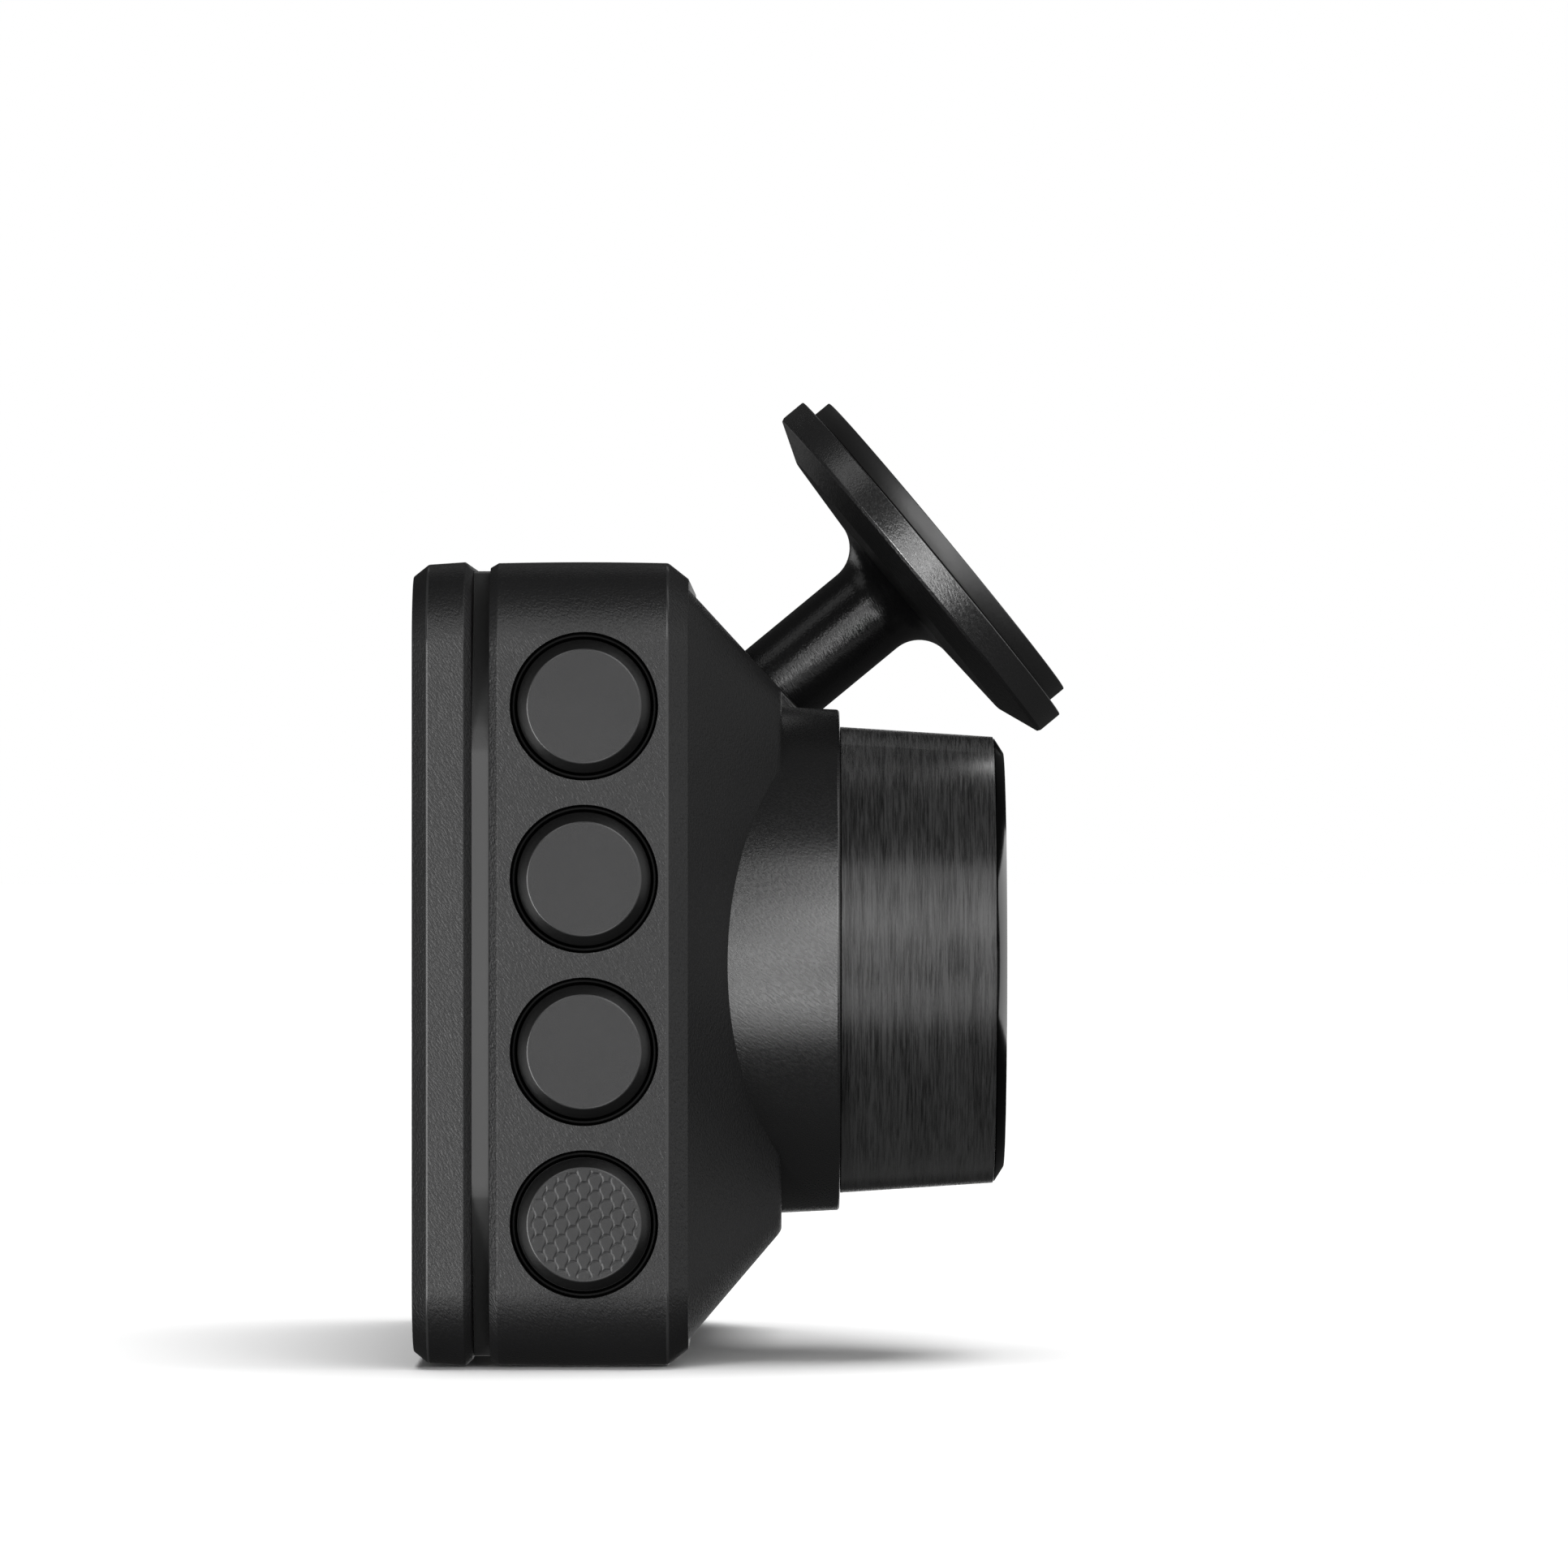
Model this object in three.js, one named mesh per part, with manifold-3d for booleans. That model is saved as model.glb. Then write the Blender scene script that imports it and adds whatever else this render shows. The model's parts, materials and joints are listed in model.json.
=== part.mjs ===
// Dash camera on a magnetic ball mount, as an assembly of separate parts.
// Millimetres, +Z up. +X points the way the lens looks, the buttons are on the -Y side.
// The origin is on the flat underside of the front housing, midway across the body.

import * as THREE from 'three';
import { mergeVertices } from 'three/addons/utils/BufferGeometryUtils.js';
import Module from 'manifold-3d';

const wasm = await Module();
wasm.setup();

// ---------------------------------------------------------------- driving dimensions

const GAP = 0.3;                 // clearance between pieces that meet
const WALL = 1.6;                // shell thickness
const OVER = 1;                  // how far a cut runs past the face that it opens
const SINK = 0.1;                // how far one piece of a joined body is set into the next
const MERGE = 1e-4;              // points closer than this are one point

const BODY = { width: 61, height: 48, corner: 5 };
const MID_Z = BODY.height / 2;

const BEZEL = { rear: -10, chamferEnd: -9.1, widest: -6.96, front: -6.46 };
const BEZEL_INSET = { rear: 0.87, chamferEnd: 0.15, widest: 0, front: 0.35 };
const WINDOW = { halfWidth: 26.6, halfHeight: 20.1, corner: 2.4 };

const BAND = { rear: -6.16, front: -5.7, inset: 0.5, cornerRise: 13.74, cornerWidth: 24.4 };
const FRAME_PLATE = { front: -4.8, inset: 2.2, halfWidth: 25, halfHeight: 18.4, corner: 1 };

const HOUSING = { rear: -5.4, rearChamferEnd: -4.92, sideEnd: 5.2, front: 6.42 };
const HOUSING_INSET = { rear: 0.34, side: 0, front: 1.02 };
const CAVITY_FRONT = 5;

const DISPLAY_GLASS = { rear: -9.75, front: -8.75, halfWidth: 26.3, halfHeight: 19.8, corner: 2.1 };

const PYRAMID_BASE = { x: 6.42, halfWidth: 29.4, low: 1.6, high: 46.35, corner: 3.4 };
const PYRAMID_TOP = { x: 11.95, halfWidth: 20, low: 7.8, high: 40.4, corner: 0.6 };
const INNER_BASE = { x: CAVITY_FRONT - 0.01, halfWidth: 28.4, low: 2.6, high: 45.4, corner: 3 };
const INNER_TOP = { x: 10.19, halfWidth: 19.6, low: 8.4, high: 39.6, corner: 0.6 };

const LENS_Y = -10;
const LENS_Z = MID_Z;
const COLLAR = { start: 6.6, front: 15.5, baseRadius: 15.47, edgeX: 15.3, edgeRadius: 15.3 };
const COLLAR_FACE_RADIUS = 14.25;
const LENS_BORE = 9;
const SPIGOT = { radius: 10.3, end: 18 };
const RING = { rear: 15.8, front: 24.6, rearRadius: 14.25, frontRadius: 13.64, bore: 12.4 };
const GLASS = { rear: 24.9, front: 25.5, rimRadius: 13.6, faceRadius: 12.65 };
const GLASS_PLUG = { rear: 24, radius: 12.1 };
const BARREL = { rear: 4, rearStep: 8, frontStep: 14, front: 22 };
const BARREL_BORES = { rear: 5, middle: 6.2, front: 7.6 };
const REAR_LENS = { radius: 4.7, rear: 5.2, front: 6.6, rearDome: 0.5, frontDome: 0.7 };
const MIDDLE_LENS = { radius: 5.9, rear: 9.6, front: 11.2, rearDome: 0.8, frontDome: 0.8 };
const FRONT_LENS = { radius: 7.3, rear: 16.6, front: 18.2, rearDome: 1, frontDome: 2.2 };
const RETAINER = { bore: 6.4, radius: 7.3, rear: 19.1, front: 20.4 };
const BAFFLE = { bore: 7.9, middle: 9.6, shoulder: 11.2, radius: 11.9 };
const BAFFLE_X = { dip: 22.3, rear: 22.6, boreFront: 23.2, front: 23.7 };
const SEAL = { x: 16.7, radius: 0.65 };
const SENSOR = { rear: 2.7, front: 3.6, halfWidth: 4, halfHeight: 3 };

const BUTTON = { x: 0.24, pitch: 10.24, hole: 4.405, body: 3.96, face: 3.37, flange: 4.7 };
const BUTTON_COUNT = 4;
const SIDE_Y = -BODY.width / 2;  // outer face of the button side
const BUTTON_DEPTH = { face: 0.03, body: 0.62, flange: WALL + GAP, end: WALL + GAP + 0.5 };
const MEMBRANE = { near: -27.5, far: -27, rear: -4, front: 4.7, low: 2.6, high: 45.4 };
const NUB = { radius: 1.5, height: 0.25 };
const BUTTON_BOARD = { near: -24.5, far: -23.7, rear: -2.2, front: 4.6, low: 3.4, high: 44.6 };
const TACT_SWITCH = { near: -26, far: -24.8, half: 2.25, plunger: 1, plungerTip: -26.45 };

const SOCKET_ANGLE = THREE.MathUtils.degToRad(43.4);   // socket axis above the horizontal
const STEM_ANGLE = THREE.MathUtils.degToRad(39.5);     // arm axis above the horizontal
const BALL_CENTRE = new THREE.Vector3(8.882, 0, 38.57);
const BALL_RADIUS = 4.3;
const SOCKET_DEPTH = 3.59;       // from the ball's centre out to the socket block's slope
const SOCKET_MOUTH = 4.7;
const LINER = { inner: 4.5, outer: 5, lip: 1 };
const POCKET_RADIUS = 5.25;
const BOSS = { radius: 6.2, depth: 6.2 };
const BLOCK = { halfWidth: 6, front: 14.4, low: 30, back: 6 };
const BLOCK_OVERSHOOT = 3;       // how far the socket's mouth is cut past the slope
const MAGNET = { radius: 4, near: 6.5, far: 8.7 };
const STUD = { radius: 1.5, end: 9.5, bore: 1.8, boreEnd: 9.8 };
const ARM = { neck: 2.4, stem: 2.94, stemEnd: 10.72, flareRadius: 4.77, flareEnd: 12.94 };
const FLARE = { centreRadius: 5.37, centreRise: 10.64, radius: 2.43, from: 180, to: 104 };
const DISC = { innerRadius: 9.9, innerRise: 13.33, edgeRadius: 12.55, edgeRise: 14.35, face: 16.03 };
const PAD = { radius: 11.48, thickness: 0.92 };

const PORT = { x: -0.67, z: 33, halfThick: 1.63, halfLength: 4.47, wall: 0.35, depth: 7.3 };
const CARD = { x: -1.2, z: 14, thick: 0.8, width: 11, length: 14.9, outer: 30.2 };
const CARD_SOCKET = { thick: 2.2, width: 14, outer: 28.5, clear: 0.3 };
const TONGUE = { halfThick: 0.35, halfLength: 3.35, recess: 1.1 };
const CARD_NOTCH = { depth: 1.3, length: 6.4 };
const MICROPHONE = { x: -1.75, z: 24.4, hole: 0.6 };
const GRILLE = { count: 5, pitch: 2.4, width: 1.1, firstY: 4.7, rear: -1.9, front: 4.1 };
const STATUS_LIGHT = { y: 22, z: 2.4, radius: 0.7, rear: -9.9, front: -6.86 };

const SCREW = { y: 21, low: 3.8, high: 44.2, head: 1.4, shank: 0.7, hole: 1 };
const SCREW_X = { head: -6.1, headEnd: -5.7, seat: -5.35, tip: -1 };
const SCREW_BOSS = { radius: 2.3, rear: -3.9, hole: 1 };

// Flat inner pieces: two opposite corners and a finish.
const INNER_BLOCKS = {
  display_panel: { low: [-8.45, -25.6, 4.9], high: [-6.75, 25.6, 43.1], finish: 'chip' },
  backlight_plate: { low: [-6.45, -24.7, 5.9], high: [-5, 24.7, 42.1], finish: 'steel' },
  main_board: { low: [-3.6, -26.4, 6.2], high: [-2.6, 27.5, 41.8], finish: 'board' },
  processor: { low: [-2.3, -16, 18], high: [-1.3, -4, 30], finish: 'chip' },
  memory_chip: { low: [-2.3, 3, 26], high: [-1.4, 11, 34], finish: 'chip' },
  power_coil: { low: [-2.3, 12.5, 30], high: [-0.4, 17.5, 35], finish: 'insert' },
  heat_spreader: { low: [-1, -19, 13], high: [-0.3, 1, 35], finish: 'aluminium' },
  backup_cell: { low: [1.3, 6.8, 15], high: [5, 25.4, 37], finish: 'aluminium' },
  speaker: { low: [-2.2, 2, 2], high: [4.4, 17, 5.2], finish: 'insert' },
  positioning_module: { low: [-2, 8, 42.2], high: [4.4, 18.4, 45.9], finish: 'insert' },
  microphone: { low: [-2.3, 25.8, 22.9], high: [-1.2, 27.9, 25.9], finish: 'steel' },
  sensor_board: { low: [1.4, -19, 16], high: [2.4, -1, 31.5], finish: 'board' },
};

const FINE = 52;                 // segments round the large turned parts
const MEDIUM = 28;
const SOCKET_SEGMENTS = 24;
const COARSE = 16;
const SMALL = 12;
const ARC_STEPS = 6;             // steps along a quarter circle
const WINDOW_STEPS = 4;
const SLOT_STEPS = 8;
const SEAL_STEPS = 8;
const BALL_STEPS = 10;
const DOME_STEPS = 3;

const X_AXIS = new THREE.Vector3(1, 0, 0);
const Y_AXIS = new THREE.Vector3(0, 1, 0);
const socketAxis = new THREE.Vector3(Math.cos(SOCKET_ANGLE), 0, Math.sin(SOCKET_ANGLE));
const stemAxis = new THREE.Vector3(Math.cos(STEM_ANGLE), 0, Math.sin(STEM_ANGLE));
const lensFoot = new THREE.Vector3(0, LENS_Y, LENS_Z);

// ---------------------------------------------------------------- materials

const finishes = {
  shell: { color: 0x232323, roughness: 0.45, metalness: 0 },
  band: { color: 0x0b0b0b, roughness: 0.15, metalness: 0 },
  button: { color: 0x2a2a2a, roughness: 0.5, metalness: 0 },
  brushed: { color: 0x3a3a3a, roughness: 0.35, metalness: 0.9 },
  glass: { color: 0x050505, roughness: 0.05, metalness: 0 },
  lens: { color: 0x1c2430, roughness: 0.03, metalness: 0 },
  insert: { color: 0x141414, roughness: 0.6, metalness: 0 },
  board: { color: 0x14331f, roughness: 0.5, metalness: 0 },
  chip: { color: 0x111214, roughness: 0.4, metalness: 0 },
  steel: { color: 0x9a9a9a, roughness: 0.3, metalness: 1 },
  aluminium: { color: 0xb4b6b8, roughness: 0.4, metalness: 1 },
  rubber: { color: 0x161616, roughness: 0.8, metalness: 0 },
  pad: { color: 0x1b1b1b, roughness: 0.7, metalness: 0 },
  light: { color: 0x88c0a0, roughness: 0.3, metalness: 0 },
};

// ---------------------------------------------------------------- geometry helpers

// Position-only geometry with shared vertices, no zero-width triangles and its faces out.
function closed(geometry) {
  geometry.deleteAttribute('normal');
  geometry.deleteAttribute('uv');
  const merged = mergeVertices(geometry, MERGE);
  const index = Array.from(merged.index.array);
  const kept = [];
  for (let i = 0; i < index.length; i += 3) {
    const [a, b, c] = index.slice(i, i + 3);
    if (a !== b && b !== c && c !== a) {
      kept.push(a, b, c);
    }
  }
  merged.setIndex(kept);
  if (signedVolume(merged) < 0) {
    kept.reverse();
    merged.setIndex(kept);
  }
  return merged;
}

function signedVolume(geometry) {
  const position = geometry.getAttribute('position');
  const index = geometry.index.array;
  const corner = [0, 1, 2].map(() => new THREE.Vector3());
  let total = 0;
  for (let i = 0; i < index.length; i += 3) {
    corner.forEach((point, k) => point.fromBufferAttribute(position, index[i + k]));
    total += corner[0].dot(corner[1].clone().cross(corner[2])) / 6;
  }
  return total;
}

function toSolid(geometry) {
  const body = closed(geometry);
  const vertProperties = new Float32Array(body.getAttribute('position').array);
  const triVerts = new Uint32Array(body.index.array);
  return new wasm.Manifold(new wasm.Mesh({ numProp: 3, vertProperties, triVerts }));
}

function toGeometry(solid) {
  const mesh = solid.getMesh();
  const geometry = new THREE.BufferGeometry();
  geometry.setAttribute('position', new THREE.BufferAttribute(mesh.vertProperties, 3));
  geometry.setIndex(new THREE.BufferAttribute(mesh.triVerts, 1));
  return geometry;
}

function joined(...geometries) {
  return toGeometry(geometries.map(toSolid).reduce((all, one) => all.add(one)));
}

function cut(geometry, ...tools) {
  return toGeometry(tools.map(toSolid).reduce((all, one) => all.subtract(one), toSolid(geometry)));
}

// A box between two corners.
function block(low, high) {
  const size = high.map((value, i) => value - low[i]);
  const centre = high.map((value, i) => (value + low[i]) / 2);
  return new THREE.BoxGeometry(...size).translate(...centre);
}

// A solid turned about an axis; the profile is [radius, height] pairs from a foot point.
function turned(profile, foot, axis, segments = MEDIUM) {
  const points = profile.map(([radius, height]) => new THREE.Vector2(radius, height));
  const turn = new THREE.Quaternion().setFromUnitVectors(Y_AXIS, axis);
  return new THREE.LatheGeometry(points, segments)
    .applyQuaternion(turn)
    .translate(foot.x, foot.y, foot.z);
}

function rod(radius, start, end, foot, axis, segments = COARSE) {
  return turned([[0, start], [radius, start], [radius, end], [0, end]], foot, axis, segments);
}

// Points along an arc of [radius, height], from one angle to another in degrees.
function arc(centreRadius, centreHeight, radius, from, to, steps) {
  return Array.from({ length: steps + 1 }, (_, i) => {
    const angle = THREE.MathUtils.degToRad(from + ((to - from) * i) / steps);
    return [centreRadius + radius * Math.cos(angle), centreHeight + radius * Math.sin(angle)];
  });
}

// Outline in (Y, Z) of a rectangle with rounded corners.
function roundedOutline({ halfWidth, low, high, corner }, steps = ARC_STEPS) {
  const y = halfWidth - corner;
  const centres = [[y, low + corner], [y, high - corner], [-y, high - corner], [-y, low + corner]];
  return centres.flatMap(([cy, cz], i) => arc(cy, cz, corner, i * 90 - 90, i * 90, steps));
}

function bodyOutline(inset) {
  return roundedOutline({
    halfWidth: BODY.width / 2 - inset,
    low: inset,
    high: BODY.height - inset,
    corner: BODY.corner - inset,
  });
}

// A rounded rectangle centred at mid height.
function windowOutline({ halfWidth, halfHeight, corner }) {
  const extent = { halfWidth, low: MID_Z - halfHeight, high: MID_Z + halfHeight, corner };
  return roundedOutline(extent, WINDOW_STEPS);
}

// The recessed band's outline: a rectangle whose corners are cut by long sloping facets.
function bandOutline(inset) {
  const side = BODY.width / 2 - inset;
  const rise = MID_Z - inset;
  const shoulder = BAND.cornerRise;
  const top = BAND.cornerWidth - (inset - BAND.inset);
  const quarter = [[side, shoulder], [top, rise]];
  const mirrored = quarter.map(([y, z]) => [-y, z]).reverse();
  const upper = [...quarter, ...mirrored];
  const lower = upper.map(([y, z]) => [-y, -z]);
  return [...upper, ...lower].map(([y, z]) => [y, z + MID_Z]);
}

// A solid through matching outlines, each at its own X.
function loft(stations) {
  const count = stations[0].outline.length;
  const positions = stations.flatMap(({ x, outline }) => outline.flatMap(([y, z]) => [x, y, z]));
  const index = [];
  for (let ring = 0; ring + 1 < stations.length; ring += 1) {
    for (let i = 0; i < count; i += 1) {
      const a = ring * count + i;
      const b = ring * count + ((i + 1) % count);
      index.push(a, b, b + count, a, b + count, a + count);
    }
  }
  const last = (stations.length - 1) * count;
  const flat = stations[0].outline.map(([y, z]) => new THREE.Vector2(y, z));
  THREE.ShapeUtils.triangulateShape(flat, []).forEach(([a, b, c]) => {
    index.push(a, c, b, last + a, last + b, last + c);
  });
  const geometry = new THREE.BufferGeometry();
  geometry.setAttribute('position', new THREE.Float32BufferAttribute(positions, 3));
  geometry.setIndex(index);
  return geometry;
}

// A plate of constant outline between two X values.
function plate(outline, rear, front) {
  return loft([{ x: rear, outline }, { x: front, outline }]);
}

// A slot with round ends, long in Z, running along Y.
function slot(x, z, halfThick, halfLength, startY, endY) {
  const shape = new THREE.Shape();
  const reach = halfLength - halfThick;
  shape.absarc(0, reach, halfThick, 0, Math.PI, false);
  shape.absarc(0, -reach, halfThick, Math.PI, 2 * Math.PI, false);
  return new THREE.ExtrudeGeometry(shape, {
    depth: endY - startY, bevelEnabled: false, curveSegments: SLOT_STEPS,
  }).rotateX(Math.PI / 2).translate(x, endY, z);
}

const buttonHeights = Array.from(
  { length: BUTTON_COUNT },
  (_, i) => MID_Z + BUTTON.pitch * ((BUTTON_COUNT - 1) / 2 - i),
);
const screwPlaces = [-SCREW.y, SCREW.y].flatMap((y) => [[y, SCREW.low], [y, SCREW.high]]);
const sideFoot = (x, z) => new THREE.Vector3(x, 0, z);

// ---------------------------------------------------------------- shells

function rearBezel() {
  const outer = loft(Object.keys(BEZEL).map((key) => (
    { x: BEZEL[key], outline: bodyOutline(BEZEL_INSET[key]) })));
  const lightFoot = new THREE.Vector3(0, STATUS_LIGHT.y, STATUS_LIGHT.z);
  return cut(
    outer,
    plate(windowOutline(WINDOW), BEZEL.rear - OVER, BEZEL.front + OVER),
    rod(STATUS_LIGHT.radius + GAP, BEZEL.rear - OVER, BEZEL.front + OVER, lightFoot, X_AXIS),
  );
}

function displayGlass() {
  return plate(windowOutline(DISPLAY_GLASS), DISPLAY_GLASS.rear, DISPLAY_GLASS.front);
}

function statusLight() {
  const foot = new THREE.Vector3(0, STATUS_LIGHT.y, STATUS_LIGHT.z);
  return rod(STATUS_LIGHT.radius, STATUS_LIGHT.rear, STATUS_LIGHT.front, foot, X_AXIS);
}

function midFrame() {
  const { front, inset } = FRAME_PLATE;
  const flange = plate(bandOutline(BAND.inset), BAND.rear, BAND.front);
  const inner = plate(bandOutline(inset), BAND.rear, front);
  const opening = plate(windowOutline(FRAME_PLATE), BAND.rear - OVER, front + OVER);
  const holes = screwPlaces.flatMap(([y, z]) => {
    const foot = new THREE.Vector3(0, y, z);
    return [
      rod(SCREW.hole, BAND.rear - OVER, front + OVER, foot, X_AXIS),
      rod(SCREW.head + GAP, BAND.rear - OVER, SCREW_X.seat - GAP, foot, X_AXIS),
    ];
  });
  return cut(joined(flange, inner), opening, ...holes);
}

function socketBlock() {
  const rise = Math.tan(Math.PI / 2 - SOCKET_ANGLE);
  const slope = BALL_CENTRE.clone().addScaledVector(socketAxis, SOCKET_DEPTH);
  const heightAt = (x) => slope.z - (x - slope.x) / rise;
  const shape = new THREE.Shape();
  shape.moveTo(BLOCK.back, BLOCK.low);
  shape.lineTo(BLOCK.front, BLOCK.low);
  shape.lineTo(BLOCK.front, heightAt(BLOCK.front));
  shape.lineTo(PYRAMID_BASE.x, heightAt(PYRAMID_BASE.x));
  shape.lineTo(BLOCK.back, heightAt(PYRAMID_BASE.x));
  return new THREE.ExtrudeGeometry(shape, { depth: 2 * BLOCK.halfWidth, bevelEnabled: false })
    .rotateX(Math.PI / 2)
    .translate(0, BLOCK.halfWidth, 0);
}

function housingOuter() {
  const box = loft([
    { x: HOUSING.rear, outline: bodyOutline(HOUSING_INSET.rear) },
    { x: HOUSING.rearChamferEnd, outline: bodyOutline(HOUSING_INSET.side) },
    { x: HOUSING.sideEnd, outline: bodyOutline(HOUSING_INSET.side) },
    { x: HOUSING.front, outline: bodyOutline(HOUSING_INSET.front) },
  ]);
  const backed = { ...PYRAMID_BASE, x: PYRAMID_BASE.x - OVER };
  const pyramid = loft([backed, PYRAMID_BASE, PYRAMID_TOP].map((station) => (
    { x: station.x, outline: roundedOutline(station) })));
  const collar = turned([
    [0, COLLAR.start],
    [COLLAR.baseRadius, COLLAR.start],
    [COLLAR.baseRadius, PYRAMID_TOP.x],
    [COLLAR.edgeRadius, COLLAR.edgeX],
    [COLLAR_FACE_RADIUS, COLLAR.front],
    [SPIGOT.radius, COLLAR.front],
    [SPIGOT.radius, SPIGOT.end],
    [0, SPIGOT.end],
  ], lensFoot, X_AXIS, FINE);
  return joined(box, pyramid, collar, socketBlock());
}

function housingCavity() {
  const backRoom = plate(bodyOutline(WALL), HOUSING.rear - OVER, CAVITY_FRONT);
  const frontRoom = loft([INNER_BASE, INNER_TOP].map((station) => (
    { x: station.x, outline: roundedOutline(station) })));
  const socketBoss = rod(BOSS.radius, -BOSS.depth, BOSS.depth, BALL_CENTRE, socketAxis, MEDIUM);
  const screwBosses = screwPlaces.map(([y, z]) => (
    rod(SCREW_BOSS.radius, SCREW_BOSS.rear, INNER_TOP.x, new THREE.Vector3(0, y, z), X_AXIS)));
  return cut(joined(backRoom, frontRoom), socketBoss, ...screwBosses);
}

function socketPocket() {
  const ceiling = LINER.lip + GAP;
  const lipAngle = THREE.MathUtils.radToDeg(Math.asin(ceiling / POCKET_RADIUS));
  return turned([
    ...arc(0, 0, POCKET_RADIUS, -90, lipAngle, ARC_STEPS),
    [SOCKET_MOUTH, ceiling],
    [SOCKET_MOUTH, SOCKET_DEPTH + BLOCK_OVERSHOOT],
    [0, SOCKET_DEPTH + BLOCK_OVERSHOOT],
  ], BALL_CENTRE, socketAxis, SOCKET_SEGMENTS);
}

function frontHousing() {
  const inside = -SIDE_Y - WALL - OVER;
  const outside = -SIDE_Y + OVER;
  const buttonHoles = buttonHeights.map((z) => (
    rod(BUTTON.hole, SIDE_Y - OVER, SIDE_Y + WALL + OVER, sideFoot(BUTTON.x, z), Y_AXIS, MEDIUM)));
  const screwHoles = screwPlaces.map(([y, z]) => (
    rod(SCREW_BOSS.hole, SCREW_BOSS.rear - OVER, 0, new THREE.Vector3(0, y, z), X_AXIS)));
  const { x, z, halfThick, halfLength } = PORT;
  const portHole = slot(x, z, halfThick + GAP, halfLength + GAP, inside, outside);
  const cardHalf = CARD.thick / 2 + CARD_SOCKET.clear;
  const cardReach = CARD.width / 2 + 2 * CARD_SOCKET.clear;
  const cardHole = slot(CARD.x, CARD.z, cardHalf, cardReach, inside, outside);
  const micFoot = sideFoot(MICROPHONE.x, MICROPHONE.z);
  const micHole = rod(MICROPHONE.hole, inside, outside, micFoot, Y_AXIS, SMALL);
  const grille = Array.from({ length: GRILLE.count }, (_, i) => {
    const y = GRILLE.firstY + i * GRILLE.pitch;
    return block([GRILLE.rear, y, -OVER], [GRILLE.front, y + GRILLE.width, WALL + OVER]);
  });
  return cut(
    housingOuter(),
    housingCavity(),
    rod(LENS_BORE, CAVITY_FRONT, SPIGOT.end + OVER, lensFoot, X_AXIS, FINE),
    socketPocket(),
    ...buttonHoles,
    ...screwHoles,
    portHole,
    cardHole,
    micHole,
    ...grille,
  );
}

// ---------------------------------------------------------------- buttons

function button(z) {
  const { face, body, flange, end } = BUTTON_DEPTH;
  return turned([
    [0, face],
    [BUTTON.face, face],
    [BUTTON.body, body],
    [BUTTON.body, flange],
    [BUTTON.flange, flange],
    [BUTTON.flange, end],
    [0, end],
  ], new THREE.Vector3(BUTTON.x, SIDE_Y, z), Y_AXIS, MEDIUM);
}

function buttonMembrane() {
  const { near, far, rear, front, low, high } = MEMBRANE;
  const sheet = block([rear, near, low], [front, far, high]);
  const nubs = buttonHeights.map((z) => (
    rod(NUB.radius, far - SINK, far + NUB.height, sideFoot(BUTTON.x, z), Y_AXIS)));
  return joined(sheet, ...nubs);
}

function buttonBoard() {
  const { near, far, rear, front, low, high } = BUTTON_BOARD;
  return block([rear, near, low], [front, far, high]);
}

function tactSwitch(z) {
  const { near, far, half, plunger, plungerTip } = TACT_SWITCH;
  return joined(
    block([BUTTON.x - half, near, z - half], [BUTTON.x + half, far, z + half]),
    rod(plunger, plungerTip, near + SINK, sideFoot(BUTTON.x, z), Y_AXIS),
  );
}

// ---------------------------------------------------------------- lens

function lensRing() {
  return turned([
    [RING.bore, RING.rear],
    [RING.rearRadius, RING.rear],
    [RING.frontRadius, RING.front],
    [RING.bore, RING.front],
    [RING.bore, RING.rear],
  ], lensFoot, X_AXIS, FINE);
}

function coverGlass() {
  return turned([
    [0, GLASS_PLUG.rear],
    [GLASS_PLUG.radius, GLASS_PLUG.rear],
    [GLASS_PLUG.radius, GLASS.rear],
    [GLASS.rimRadius, GLASS.rear],
    [GLASS.faceRadius, GLASS.front],
    [0, GLASS.front],
  ], lensFoot, X_AXIS, FINE);
}

function lensBarrel() {
  const outer = LENS_BORE - 2 * GAP;
  return turned([
    [BARREL_BORES.rear, BARREL.rear],
    [outer, BARREL.rear],
    [outer, BARREL.front],
    [BARREL_BORES.front, BARREL.front],
    [BARREL_BORES.front, BARREL.frontStep],
    [BARREL_BORES.middle, BARREL.frontStep],
    [BARREL_BORES.middle, BARREL.rearStep],
    [BARREL_BORES.rear, BARREL.rearStep],
    [BARREL_BORES.rear, BARREL.rear],
  ], lensFoot, X_AXIS, MEDIUM);
}

// A lens element: domed in front and behind, with a flat edge band.
function lensElement({ radius, rear, front, rearDome, frontDome }) {
  const dome = (edge, height, sign) => Array.from({ length: DOME_STEPS + 1 }, (_, i) => {
    const r = (radius * i) / DOME_STEPS;
    return [r, edge + sign * height * (1 - (r / radius) ** 2)];
  });
  const back = dome(rear, rearDome, -1);
  const face = dome(front, frontDome, 1).reverse();
  return turned([...back, ...face], lensFoot, X_AXIS, SOCKET_SEGMENTS);
}

function lensRetainer() {
  const { bore, radius, rear, front } = RETAINER;
  return turned(
    [[bore, rear], [radius, rear], [radius, front], [bore, front], [bore, rear]],
    lensFoot,
    X_AXIS,
    MEDIUM,
  );
}

function imageSensor() {
  const { rear, front, halfWidth, halfHeight } = SENSOR;
  return block([rear, LENS_Y - halfWidth, LENS_Z - halfHeight],
    [front, LENS_Y + halfWidth, LENS_Z + halfHeight]);
}

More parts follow.
